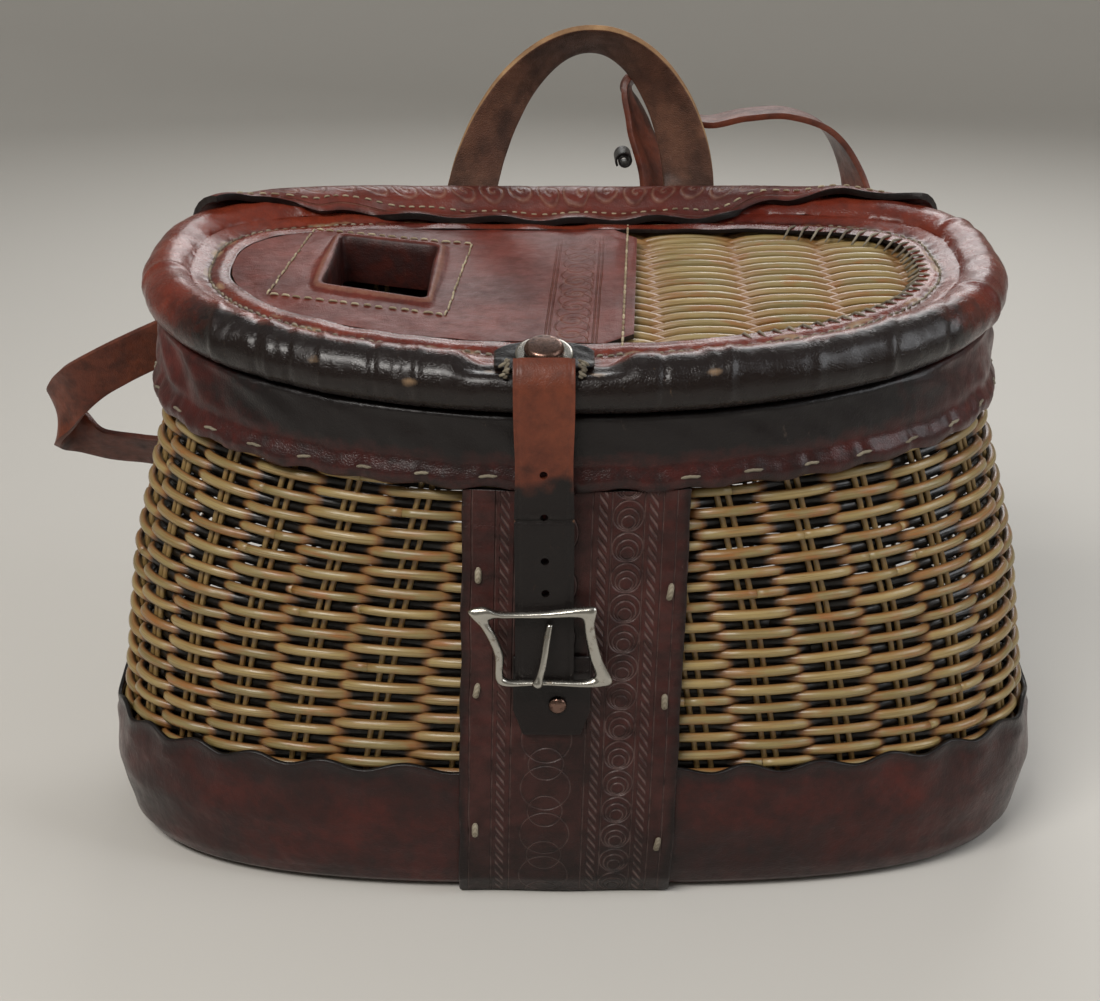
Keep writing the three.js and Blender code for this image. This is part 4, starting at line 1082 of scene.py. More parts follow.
def buckle_frame():
    """Cast frame: broad flared sides, thin bars and a knob at each top corner, round all over."""
    outer = [frame_point(across, along, FRAME_OUT) for across, along in FRAME_OUTER]
    inner = [frame_point(across, along, FRAME_OUT) for across, along in FRAME_INNER]
    bm = bmesh.new()
    bmesh.ops.create_grid(bm, x_segments=150, y_segments=14, size=0.5)
    for vert in bm.verts:
        u, v = (vert.co.x + 0.5) % 1.0, 2 * math.pi * (vert.co.y + 0.5)
        far, near = spline_at(outer, u, closed=True), spline_at(inner, u, closed=True)
        thick = BUCKLE_WIRE / 2 * min(1.0, 0.55 + 0.5 * (far - near).length / BUCKLE_WIRE)
        vert.co = far.lerp(near, 0.5 - 0.5 * math.cos(v)) + Vector((0, -math.sin(v) * thick, 0))
    bmesh.ops.remove_doubles(bm, verts=bm.verts, dist=1e-5)
    bmesh.ops.recalc_face_normals(bm, faces=bm.faces)
    return finish_mesh(bm, "buckle_wire")


def buckle_tongue():
    foot = frame_point(-0.06, -0.47, FRAME_OUT + BUCKLE_WIRE / 2 + GAP + 0.0017)
    tip = frame_point(0.08, -0.47 + 0.021 / BUCKLE_HEIGHT, CLOSURE_OUT + CLOSURE_LEATHER + GAP + 0.0013)
    points, radii = [], []
    for step in range(25):
        v = step / 24
        point = foot.lerp(tip, v)
        points.append(point + Vector((0.0004 * math.sin(v * 5), -0.0006 * math.sin(math.pi * v), 0)))
        radii.append(0.0012 + 0.0007 * bump(v, 0.04, 0.06) - 0.0002 * smooth(v, 0.8, 1.0))
    return rods("buckle_pin", [{"points": points, "radii": radii}], sides=12)


def buckle_chape():
    """The leather that holds the buckle: a tab laid on the panel up under its lower bar, its end riveted below.
    """
    top = BUCKLE_Z - 0.25 * BUCKLE_HEIGHT

    def surface(u, v):
        corner = 1 - 0.25 * max(0.0, 0.3 - v) / 0.3
        x = BUCKLE_X + 0.003 + CHAPE_WIDTH * (u - 0.5) * corner
        height = top - CHAPE_LENGTH * (1 - v)
        swell = 0.0012 * bump(v, 0.82, 0.12) - 0.0003 * bump(abs(u - 0.5), 0.42, 0.03)
        return panel_point(x, height, CHAPE_OUT + CHAPE_LEATHER - 0.0006 + swell * smooth(v, 0.4, 0.7))

    def marks(u, v):
        return {"patina": 0.9, "rub": 0.35 * smooth(abs(u - 0.5), 0.44, 0.5)}
    return sheet("buckle_leather", 24, 30, surface, (CHAPE_WIDTH, CHAPE_LENGTH), marks=marks,
                 leather=CHAPE_LEATHER - 0.0006)


# Lid: rolled rim with its border, leather cover round the fish hole, hinge flap

# Bands and scars across the rolled edge at the front, by x: height of the ridge and its half width
ROLL_RIDGES = (
    (-0.123, 0.0009, 0.0016), (-0.108, -0.0007, 0.0011), (-0.103, 0.0008, 0.0014), (-0.096, -0.0008, 0.0010),
    (-0.084, 0.0006, 0.0013), (-0.067, -0.0008, 0.0012), (-0.052, 0.0007, 0.0013), (0.028, -0.0007, 0.0012),
    (0.0495, 0.0007, 0.0016), (0.079, 0.0005, 0.002), (0.105, 0.0009, 0.0018), (0.128, -0.0007, 0.0012),
)
# Rubbed spots on the rolled edge: x and degrees round the roll
ROLL_SCARS = ((-0.082, 30), (-0.052, 12), (0.006, 48), (0.042, 36), (-0.028, 54))
BORDER_WAVE = 0.0011


def latch_reach(angle):
    """1 under the latch, 0 away from it."""
    aside = abs(rim_point(angle, 0, 0).x - LATCH_X)
    return 1 - smooth(aside, TAB_WIDTH / 2 + 0.003, TAB_WIDTH / 2 + 0.014) if math.sin(angle) < 0 else 0.0


def roll_swell(angle, turn, at):
    """How far the leather of the rolled edge stands proud, or sinks, at one place."""
    swell = 0.0006 * noise.noise(Vector((at.x, at.y, 0)) / 0.019)
    swell += 0.00035 * noise.noise(Vector((at.x, at.y, at.z)) / 0.007)
    if math.sin(angle) < 0:
        for x, height, width in ROLL_RIDGES:
            if abs(at.x - x) < 3 * width:
                swell += height * bump(at.x - x, 0.25 * (turn - 60) / 60 * width, width)
    for k in range(9):
        where = (k + 0.35 + 0.3 * math.sin(k * 5.0)) / 9
        swell += 0.0005 * bump((share_at(angle % (2 * math.pi)) - where) * ARC[-1], 0, 0.0018)
    dent = LATCH_DENT * latch_reach(angle) * smooth(turn, 30, 60) * (1 - smooth(turn, 130, 165))
    return swell * smooth(turn, -70, -20) - dent


# Degrees round the roll and shares across the border at which the rim's rows lie
ROLL_TURNS = [-160, -135, -110, -90, -70, -52, -36, -22] + list(range(-10, 147, 12))
BORDER_OUTS = [0.0, 0.12, 0.24, 0.36, 0.48, 0.6, 0.7, 0.8, 0.88, 0.95, 1.0]


def rim_place(u, row):
    angle = angle_at(u)
    if row < len(ROLL_TURNS):
        turn = ROLL_TURNS[row]
        lean = math.radians(turn)
        at = rim_point(angle, ROLL_RADIUS * math.cos(lean), ROLL_RADIUS * math.sin(lean))
        radius = ROLL_RADIUS + roll_swell(angle, turn, at)
        return rim_point(angle, radius * math.cos(lean), radius * math.sin(lean))
    part = BORDER_OUTS[row - len(ROLL_TURNS)]
    start = math.radians(ROLL_TURNS[-1])
    first = ROLL_RADIUS * math.cos(start)
    along = share_at(angle % (2 * math.pi)) * ARC[-1]
    wave = BORDER_WAVE * noise.noise(Vector((u * 34, 2, 0))) * part
    out = mix(first, -BORDER_WIDTH + 0.0004, part) + wave
    point = rim_point(angle, out, 0)
    level = lid_top(point.x, point.y) + GAP + BORDER_LEATHER
    rise = rim_point(angle, out, ROLL_RADIUS * math.sin(start)).z
    point.z = mix(rise, level, smooth(part, 0.0, 0.4))
    point.z += 0.0005 * bump(part, 0.72, 0.14) - 0.0006 * bump(part, 0.45, 0.07)
    pull = 0.5 + 0.5 * math.cos(2 * math.pi * along / 0.0065)
    point.z -= 0.0004 * pull * bump(part, 0.45, 0.09)
    point.z += 0.0004 * noise.noise(Vector((point.x, point.y, 0)) / 0.012)
    point.z -= 0.0008 * latch_reach(angle) * (1 - part)
    return point


def lid_rim():
    rows = len(ROLL_TURNS) + len(BORDER_OUTS) - 1

    def surface(u, v):
        return rim_place(u, round(v * rows))

    def marks(u, v):
        row = round(v * rows)
        angle = angle_at(u)
        front = smooth(max(0.0, -math.sin(angle)), 0.3, 0.7)
        if row < len(ROLL_TURNS):
            turn = ROLL_TURNS[row]
            black = front * (1 - smooth(turn, 70, 112)) + (1 - front) * 0.35 * (1 - smooth(turn, -20, 40))
            x = rim_point(angle, 0, 0).x
            scar = sum(bump(x, where, 0.0035) * bump(turn, high, 12) for where, high in ROLL_SCARS)
            rub = 0.5 * scar * front + 0.3 * max(0.0, noise.noise(Vector((u * 70, turn / 30, 6)))) * front
            return {"patina": black, "rub": rub}
        part = BORDER_OUTS[row - len(ROLL_TURNS)]
        soil = 0.75 * bump(part, 0.45, 0.1) + 0.4 * bump(part, 1.0, 0.1)
        dusty = 0.75 * bump(part, 0.5, 0.22) * smooth(noise.noise(Vector((u * 60, part * 4, 3))), -0.2, 0.4)
        return {"patina": soil, "rub": dusty}

    return sheet("rim_leather", 900, rows, surface, (1.0, 0.06), leather=0.0016, closed=True, marks=marks)


def border_line(part, first, last):
    """A line along the border, for stitches: a function of a share between two shares of the way round."""
    row = len(ROLL_TURNS) + min(range(len(BORDER_OUTS)), key=lambda i: abs(BORDER_OUTS[i] - part))

    def line(at):
        return rim_place(mix(first, last, at) % 1.0, row), Vector((0, 0, 1))
    return line


def border_stitches():
    """The stitches in the groove of the border, and the ones that whip its edge to the woven half."""
    runs = stitches(border_line(0.48, 0.36, 1.1), 150, 0.62, 0.00045, 0.0004, 31)
    draw = random.Random(33)
    first, last = 0.83, 1.12
    for k in range(34):
        u = mix(first, last, (k + 0.5) / 34)
        angle = angle_at(u)
        points = []
        for part in (0.0, 0.25, 0.5, 0.75, 1.0):
            out = -BORDER_WIDTH + mix(0.0045, -0.0032, part)
            point = rim_point(angle + 0.006 * (part - 0.5) * (1 if k % 2 else -1), out, 0)
            level = lid_top(point.x, point.y) + GAP + BORDER_LEATHER * (1 - smooth(part, 0.5, 0.9))
            points.append(Vector((point.x, point.y, level + 0.0006 - 0.0012 * (abs(part - 0.4) * 1.6) ** 4)))
        runs.append(thread(points, 0.0005, draw.random()))
    return rods("border_stitches", runs, sides=6)


HOLE_CORNERS = ((-0.47, 0.56), (0.56, 0.36), (0.52, -0.61), (-0.53, -0.36))


HOLE_STEPS = 14


def hole_outline():
    """The fish hole's edge, as points in order."""
    corners = [Vector((HOLE_X + a * HOLE_WIDTH, HOLE_Y + b * HOLE_LENGTH)) for a, b in HOLE_CORNERS]
    points = []
    for i, at in enumerate(corners):
        before, after = corners[i - 1], corners[(i + 1) % 4]
        start = at + (before - at).normalized() * HOLE_CORNER
        end = at + (after - at).normalized() * HOLE_CORNER
        following = after + (at - after).normalized() * HOLE_CORNER
        for step in range(6):
            t = step / 6
            points.append((1 - t) ** 2 * start + 2 * t * (1 - t) * at + t * t * end)
        for step in range(HOLE_STEPS):
            points.append(end.lerp(following, step / HOLE_STEPS))
    return points


def cover_limit(direction, start):
    """How far the cover reaches from the hole's edge: to the border, or to its own straight edge."""
    low, high = 0.0, 0.25
    for _ in range(26):
        middle = (low + high) / 2
        at = start + direction * middle
        outside = lid_reach(at.x, at.y, -RIM_INSET - BORDER_WIDTH + 0.0002) > 1
        beyond = at.x > COVER_EDGE + COVER_SLANT * at.y
        low, high = (low, middle) if outside or beyond else (middle, high)
    return low


COVER_RISE = GAP + LID_LEATHER
LIP = 0.0016


def lid_cover():
    """The cover's leather, ruled from the hole's edge to the border, with the lip of the hole."""
    inner = hole_outline()
    middle = sum(inner, Vector((0, 0))) / len(inner)
    count = len(inner)
    limits = []
    for point in inner:
        way = (point - middle).normalized()
        limits.append((point, way, cover_limit(way, point)))
    down = [(-0.0165, -0.0022), (-0.011, -0.0022), (-0.006, -0.0021), (-0.002, -0.0019), (LIP * 0.55, -0.0014),
            (LIP, -0.0002), (LIP * 1.05, 0.001), (LIP * 0.7, 0.0022), (0.0004, 0.0034), (0.0, 0.0046)]
    spans = 46
    rows = len(down) + spans - 1

    def surface(u, v):
        point, way, limit = limits[round(u * count) % count]
        row = round(v * rows)
        if row < len(down):
            up, out = down[row]
            at = point + way * (out - 0.0002)
            return Vector((at.x, at.y, lid_top(at.x, at.y) + COVER_RISE + up))
        part = (row - len(down) + 1) / spans
        at = point + way * mix(0.0046, limit, part)
        up = 0.0003 * rough((at.x, at.y, 0), 0.02) + 0.00025 * rough((at.x, at.y, 0), 0.008, 4.0)
        left = at.x - (COVER_EDGE + COVER_SLANT * at.y)
        up -= 0.0005 * bump(left, -0.0038, 0.0009)
        near_border = smooth(lid_reach(at.x, at.y, -BORDER_WIDTH), 0.86, 0.98)
        up += 0.0009 * near_border * rough((at.x, at.y, 0), 0.03, 1.0)
        return Vector((at.x, at.y, lid_top(at.x, at.y) + COVER_RISE + up))

    def marks(u, v):
        row = round(v * rows)
        if row < 5:
            return {"patina": 0.8, "rub": 0.0}
        if row < len(down):
            return {"patina": 0.0, "rub": 0.5 * bump(row, 6.5, 1.6)}
        point, way, limit = limits[round(u * count) % count]
        part = (row - len(down) + 1) / spans
        at = point + way * mix(0.0046, limit, part)
        return {"patina": 0.3 * max(0.0, rough((at.x, at.y, 0), 0.03, 9.0)),
                "rub": 0.35 * smooth(part, 0.97, 1.0)}

    return sheet("cover_leather", count, rows, surface, (1.0, 1.0), leather=0.0018, closed=True, marks=marks)


def cover_height(x, y):
    return lid_top(x, y) + COVER_RISE


# The seam that holds the hole's lining, as corners in metres from the middle of the hole
SEAM_CORNERS = ((-0.029, 0.0395), (0.0335, 0.024), (0.027, -0.0445), (-0.0375, -0.027))


def cover_stitches():
    """The light seam round the fish hole and the one beside the cover's straight edge."""
    corners = [Vector((HOLE_X + a, HOLE_Y + b)) for a, b in SEAM_CORNERS]
    runs = []
    up = Vector((0, 0, 1))
    for i, corner in enumerate(corners):
        after = corners[(i + 1) % 4]

        def line(at, corner=corner, after=after):
            spot = corner.lerp(after, at)
            wander = 0.0006 * noise.noise(Vector((spot.x, spot.y, 0)) / 0.006)
            return Vector((spot.x + wander, spot.y + wander, cover_height(spot.x, spot.y))), up
        count = round((after - corner).length / 0.0044)
        runs += stitches(line, count, 0.72, 0.00042, 0.00045, 40 + i)

    def edge(at):
        y = mix(-0.062, 0.058, at)
        x = COVER_EDGE + COVER_SLANT * y - 0.0038
        return Vector((x, y, cover_height(x, y) - 0.0003)), up
    runs += stitches(edge, 27, 0.72, 0.0005, 0.0005, 47)
    return rods("cover_stitches", runs, sides=6)


# Hinge flap: its front edge, as shares of FLAP_REACH at shares of the way from the right tip to the left
FLAP_EDGE = ((0, -0.25), (0.09, 0.05), (0.18, 0.42), (0.3, 0.9), (0.5, 0.98), (0.68, 0.9), (0.86, 0.62),
             (0.94, 0.15), (1, -0.1))
FLAP_TURNS = (120, 105, 90, 75, 60, 45, 30, 15, 0)
FLAP_TOP_STATION = 5
FLAP_LENGTH = 0.3


def flap_line(angle, lift):
    """The line over the flap at one angle, lift above its seat, from far in on the lid to its lower end."""
    points = []
    for out in (-1.4 * FLAP_REACH, -0.8 * FLAP_REACH, -ROLL_RADIUS - 0.001):
        point = rim_point(angle, out, 0)
        point.z = lid_top(point.x, point.y) + 3 * GAP + LID_LEATHER + lift
        points.append(point)
    for turn in FLAP_TURNS:
        lean = math.radians(turn)
        radius = FLAP_CLEAR + lift
        points.append(rim_point(angle, radius * math.cos(lean), radius * math.sin(lean)))
    on_collar = COLLAR_OUT + COLLAR_PUCKER + GAP + lift
    points += [wall_point(angle, BODY_HEIGHT - share * FLAP_DROP, on_collar) for share in (0.25, 0.6, 1)]
    return points


def flap_edge(at):
    row = 1
    while row < len(FLAP_EDGE) - 1 and FLAP_EDGE[row][0] < at:
        row += 1
    (low, a), (high, b) = FLAP_EDGE[row - 1], FLAP_EDGE[row]
    return mix(a, b, smooth(at, low, high))


FLAP_FIRST = share_at(math.acos((1 - FLAP_MARGIN / TOP.half) ** (TOP.square / 2)))


def flap_place(u, v):
    share = mix(FLAP_FIRST, 0.5 - FLAP_FIRST, u)
    points = flap_line(angle_at(share), FLAP_LEATHER)
    lengths = [0.0]
    for a, b in zip(points, points[1:]):
        lengths.append(lengths[-1] + (b - a).length)
    wave = FLAP_WAVE * math.cos(2 * math.pi * FLAP_WAVES * u) + 0.0008 * noise.noise(Vector((u * 13, 0, 0)))
    start = lengths[FLAP_TOP_STATION] - FLAP_REACH * flap_edge(u) - wave
    inwards = smooth(min(u, 1 - u), 0.02, 0.16)
    end = mix(lengths[FLAP_TOP_STATION + 6], lengths[-1], inwards)
    length = mix(start, max(end, start + 0.004), v)
    i = 1
    while i < len(points) - 1 and lengths[i] < length:
        i += 1
    point = points[i - 1].lerp(points[i], (length - lengths[i - 1]) / (lengths[i] - lengths[i - 1]))
    lifted = 0.0011 * math.cos(2 * math.pi * FLAP_WAVES * u + 0.6) * (1 - smooth(length - start, 0.0, 0.016))
    point.z += lifted + 0.0004 * rough(point, 0.018)
    return point


def hinge_flap():
    def marks(u, v):
        return {"patina": 0.1 + 0.5 * (1 - smooth(v, 0.0, 0.02)), "rub": 0.3 * bump(v, 0.03, 0.02)}
    return sheet("flap_leather", 260, 44, flap_place, (FLAP_LENGTH, 0.07), leather=FLAP_LEATHER, marks=marks,
                 edge=0.0005, flip=True)


def flap_stitches():
    def line(at):
        u = mix(0.05, 0.97, at)
        point = flap_place(u, 0.075)
        ahead = flap_place(min(u + 0.004, 1), 0.075) - point
        across = flap_place(u, 0.11) - point
        out = ahead.cross(across).normalized()
        return point, -out if out.z < 0 else out
    runs = stitches(line, 60, 0.6, 0.0004, 0.0003, 61)
    for k in range(4):
        for slant in (-1, 1):
            points = []
            for part in (-1, -0.5, 0, 0.5, 1):
                point = flap_place(0.085 + 0.012 * k + 0.006 * part, 0.26 + 0.06 * part * slant)
                points.append(point + Vector((0, 0, 0.0005 - 0.0006 * part ** 4)))
            runs.append(thread(points, 0.00055, 0.1))
    return rods("flap_stitches", runs, sides=6)


# Latch: a tab over the pressed-in roll, a washer and a rivet


def latch_point(across, inwards, up):
    lean = math.radians(90 - LATCH_LEAN)
    front = face_point(LATCH_X, BODY_HEIGHT, -RIM_INSET, -1)
    seat = (ROLL_CLEAR - LATCH_DENT + LATCH_INSET * math.cos(lean)) / math.sin(lean)
    y = front.y + LATCH_INSET + inwards * math.sin(lean) - up * math.cos(lean)
    z = lid_plane(LATCH_X, front.y) + seat + inwards * math.cos(lean) + up * math.sin(lean)
    return Vector((LATCH_X + across, y, z))


LATCH_NORMAL = (latch_point(0, 0, 1) - latch_point(0, 0, 0)).normalized()
WASHER_UP = TAB_LEATHER + GAP
CAP_UP = WASHER_UP + WASHER_METAL + GAP


def latch_tab():
    def surface(u, v):
        narrow = math.sqrt(1 - 0.75 * (2 * u - 1) ** 2)
        droop = -0.0012 * (2 * u - 1) ** 4 + 0.0003 * noise.noise(Vector((u * 6, v * 4, 0)))
        return latch_point(TAB_WIDTH * (u - 0.5), TAB_LENGTH * (v - 0.5) * narrow, TAB_LEATHER + droop)

    def marks(u, v):
        return {"patina": 0.9, "rub": 0.5 * smooth(abs(u - 0.5), 0.44, 0.5)}
    return sheet("latch_leather", 40, 20, surface, (TAB_WIDTH, TAB_LENGTH), leather=TAB_LEATHER, marks=marks)


def latch_washer():
    r, t = WASHER_RADIUS, WASHER_METAL
    profile = [(0, 0), (r - 0.0006, 0), (r, 0.0004), (r - 0.0002, 0.0008), (r - 0.0012, t)]
    profile += [(0.72 * r, 0.8 * t), (0, 0.75 * t)]
    return turned("latch_plate", profile, 48, latch_point(0, 0, WASHER_UP), LATCH_NORMAL)


def rivet_cap():
    profile = [(0, 0), (0.96 * CAP_RADIUS, 0), (CAP_RADIUS, 0.0005)]
    for step in range(1, 9):
        turn = step / 8 * math.pi / 2
        radius = CAP_RADIUS * (0.72 + 0.28 * math.cos(turn)) * (1 if step < 8 else 0.98)
        profile.append((radius, 0.0005 + (CAP_HEIGHT - 0.0009) * math.sin(turn)))
    profile += [(0.4 * CAP_RADIUS, CAP_HEIGHT - 0.0002), (0, CAP_HEIGHT - 0.0001)]
    return turned("latch_rivet", profile, 40, latch_point(0, 0, CAP_UP), LATCH_NORMAL)


def slot_tears():
    """Torn lips of leather at both ends of the slot that the closure strap comes out of."""
    draw = random.Random(71)
    runs = []
    for side in (-1, 1):
        for k in range(9):
            lean = math.radians(mix(30, 62, k / 8))
            base = roll_middle() + (ROLL_RADIUS + 0.0003) * Vector((0, -math.cos(lean), math.sin(lean)))
            base.x = LATCH_X + side * (CLOSURE_WIDTH / 2 + 0.0018 + 0.0022 * draw.random())
            way = Vector((-side * draw.uniform(0.3, 1.0), -math.cos(lean), math.sin(lean))).normalized()
            tip = base + way * draw.uniform(0.0012, 0.0028)
            runs.append(thread([base - way * 0.001, base, base.lerp(tip, 0.5), tip], 0.0006, draw.random()))
    return rods("slot_tears", runs, sides=6)


# Handle and shoulder strap

FLAP_BACK = FLAP_CLEAR + FLAP_LEATHER + GAP
HANDLE_OUT = FLAP_BACK + HANDLE_LEATHER + GAP
HANDLE_TURNS = range(180, -1, -15)


def handle_row(turn):
    """The outer and inner edge of the handle's band at one angle of its bow."""
    lean = math.radians(turn)
    bow = max(0.0, math.sin(lean))
    wide = HANDLE_SPAN / 2
    foot = face_point(HANDLE_X + math.cos(lean) * wide, BODY_HEIGHT, HANDLE_OUT - RIM_INSET, 1)
    foot.z = lid_plane(foot.x, foot.y)
    rise = HANDLE_RISE * bow ** 1.1
    outer = foot + Vector((0.07 * HANDLE_RISE * bow, 0.1 * HANDLE_RISE * bow, rise))
    inner = foot + Vector((0, 0.34 * HANDLE_RISE * bow, rise - 0.157 * HANDLE_RISE * bow))
    inner.x = HANDLE_X + math.cos(lean) * (wide - HANDLE_WIDTH) + 0.06 * HANDLE_RISE * bow
    return outer, inner


def handle_rails():
    rows = [handle_row(turn) for turn in HANDLE_TURNS]
    drop = Vector((0, 0, -HANDLE_FOOT))
    rows = [tuple(point + drop for point in rows[0])] + rows + [tuple(point + drop for point in rows[-1])]
    return [row[0] for row in rows], [row[1] for row in rows]


HANDLE_RAILS = handle_rails()


def handle_place(u, v):
    outer, inner = (spline_at(rail, v) for rail in HANDLE_RAILS)
    ahead = spline_at(HANDLE_RAILS[0], min(v + 0.01, 1)) - spline_at(HANDLE_RAILS[0], max(v - 0.01, 0))
    front = ahead.cross(inner - outer).normalized()
    aside = abs(u - 0.5) * 2
    lift = HANDLE_LEATHER - 0.0003 * smooth(aside, 0.8, 1.0) + 0.0003 * rough(outer + inner, 0.02)
    return outer.lerp(inner, u) - front * lift


def handle():
    def marks(u, v):
        spot = noise.noise(Vector((u * 2.2, v * 18, 1)))
        return {"patina": 0.3 + 0.5 * spot + 0.3 * smooth(abs(v - 0.5), 0.3, 0.45),
                "rub": 0.25 * smooth(abs(u - 0.5), 0.42, 0.5)}
    return sheet("handle_leather", 20, 150, handle_place, (HANDLE_WIDTH, 0.29), marks=marks,
                 leather=HANDLE_LEATHER - 0.0003)


# One run of leather: attached at the back left, out in a loop, behind the basket, up inside the handle and
# over to the back right. across: share of BODY_HALF_WIDTH. behind: of STRAP_WIDTH. height: of BODY_HEIGHT.
Turn = namedtuple("Turn", "across behind height right front up")
STRAP_ROUTE = [Turn(*row) for row in (
    (-0.48, 0.52, 0.90, 0, 0, 1),
    (-0.64, 0.62, 0.89, 0, 0, 1),
    (-0.82, 0.78, 0.855, 0, 0.2, 1),
    (-0.95, 1.08, 0.812, 0, 0.35, 1),
    (-1.08, 1.08, 0.757, 0, 0.35, 1),
    (-1.157, 1.2, 0.716, 0, 0.3, 1),
    (-1.212, 1.58, 0.67, 0, 0.2, 1),
    (-1.238, 1.9, 0.633, 0, 0.1, 1),
    (-1.235, 2.2, 0.608, 0, 0.1, 1),
    (-1.21, 2.42, 0.588, 0, 0.3, 1),
    (-1.15, 2.54, 0.562, 0, 0.7, 1),
    (-1.05, 2.54, 0.552, 0, 0.75, 1),
    (-0.93, 2.4, 0.54, 0, 0.6, 1),
    (-0.70, 1.5, 0.43, -0.1, 0.3, 1),
    (-0.48, 1.1, 0.30, -0.3, 0.1, 1),
    (-0.26, 1.0, 0.20, -0.4, 0, 1),
    (-0.06, 1.0, 0.17, -0.3, 0, 1),
    (0.08, 1.0, 0.28, -0.9, 0, 0.5),
    (0.12, 1.0, 0.55, -1, 0, 0),
    (0.14, 1.0, 0.88, -1, 0, 0),
    (0.195, 1.25, 1.09, -0.6, 0.75, 0),
    (0.155, 1.9, 1.22, -0.4, 0.9, 0),
    (0.13, 2.25, 1.31, -0.1, 1, 0),
    (0.17, 2.5, 1.33, 0, 1, 0),
    (0.24, 2.45, 1.265, 0, 1, 0),
    (0.32, 2.15, 1.235, 0, 1, 0),
    (0.41, 2.1, 1.25, 0, 1, 0),
    (0.51, 2.05, 1.255, 0, 1, 0),
    (0.605, 2.05, 1.22, 0.1, 1, 0),
    (0.67, 2.0, 1.12, 0.3, 1, 0),
    (0.70, 1.6, 0.92, 0.6, 0.7, 0),
    (0.715, 0.8, 0.77, 0.8, 0.5, 0),
    (0.72, 0.34, 0.66, 0.85, 0.5, 0),
    (0.72, 0.34, 0.58, 0.85, 0.5, 0),
)]
STRAP_LENGTH = 0.95


def strap_point(across, behind, height):
    x = across * BODY_HALF_WIDTH
    wall = face_point(x, height * BODY_HEIGHT, 0, 1)
    return Vector((x, wall.y + behind * STRAP_WIDTH, wall.z))


STRAP_MIDDLE = [strap_point(turn.across, turn.behind, turn.height) for turn in STRAP_ROUTE]
STRAP_BROAD = [Vector((turn.right, -turn.front, turn.up)) for turn in STRAP_ROUTE]


def strap_place(u, v):
    at = spline_at(STRAP_MIDDLE, v)
    ahead = spline_at(STRAP_MIDDLE, min(v + 0.002, 1)) - spline_at(STRAP_MIDDLE, max(v - 0.002, 0))
    ahead.normalize()
    broad = spline_at(STRAP_BROAD, v)
    broad = (broad - ahead * broad.dot(ahead)).normalized()
    return at + broad * (u - 0.5) * STRAP_WIDTH * (1 + 0.015 * noise.noise(Vector((v * 60, u, 0))))


def shoulder_strap():
    def marks(u, v):
        return {"patina": 0.15 + 0.4 * max(0.0, noise.noise(Vector((u * 2, v * 40, 3)))),
                "rub": 0.25 * smooth(abs(u - 0.5), 0.42, 0.5)}
    return sheet("strap_leather", 10, 420, strap_place, (STRAP_WIDTH, STRAP_LENGTH), marks=marks,
                 leather=STRAP_LEATHER)


def strap_roll():
    """The dark rolled end beside the strap: a strip of leather wound one and a half times."""
    beside = strap_point(0.165, 1.2, 1.165)
    middle = Vector((beside.x - 0.0078, beside.y, beside.z))

    def surface(u, v):
        turn = 3.2 * math.pi * u
        radius = mix(0.0019, 0.004, u)
        return middle + Vector((radius * math.cos(turn), 0.016 * (0.5 - v), radius * math.sin(turn)))

    def marks(u, v):
        return {"patina": 0.85, "rub": 0.0}
    return sheet("strap_end_roll", 60, 10, surface, (0.05, 0.016), leather=0.0009, marks=marks, edge=0.0002)


# Add-on


def lid_tooling(node):
    """The cover's pressed band: two lines each side of a row of scrolls, from front to back."""
    place = node("SeparateXYZ", node("TexCoord").outputs["Object"])
    x, y = place.outputs[0], place.outputs[1]
    off = node("Math", y, -COVER_SLANT, x, operation="MULTIPLY_ADD")
    off = node("Math", off, COVER_EDGE - 0.0215, operation="SUBTRACT")
    band = all_of(node, scroll_row(node, y, off, 0.0115), ring_row(node, y, off, 0.0115, 0.0058, 0.5, 0.0005))
    band = node("Math", band, node("MapRange", apart(node, off), 0.0068, 0.0064), operation="MULTIPLY")
    lines = [groove_at(node, off, where, 0.00045) for where in (-0.0075, 0.0075, -0.0088, 0.0088)]
    front = node("MapRange", y, 0.045, 0.0)
    return node("Math", all_of(node, band, *lines), front, operation="MULTIPLY")


def flap_tooling(node):
    """A running scroll along the flap's front edge with a line on each side."""
    across, along = cut_place(node)
    off = node("Math", along, 0.0135, operation="SUBTRACT")
    return all_of(node, scroll_row(node, across, off, 0.0125), groove_at(node, along, 0.0025, 0.0004),
                  groove_at(node, along, 0.0215, 0.0004))


# Places across the panel's cut of its rope borders and of its single lines, in metres
PANEL_ROPES = (0.0145, 0.0475, 0.0645)
PANEL_LINES = (0.0035, 0.0115, 0.018, 0.044, 0.0505, 0.0615, 0.0678, 0.0725)
PANEL_COLUMN = 0.056
PANEL_LEAVES = 0.0305


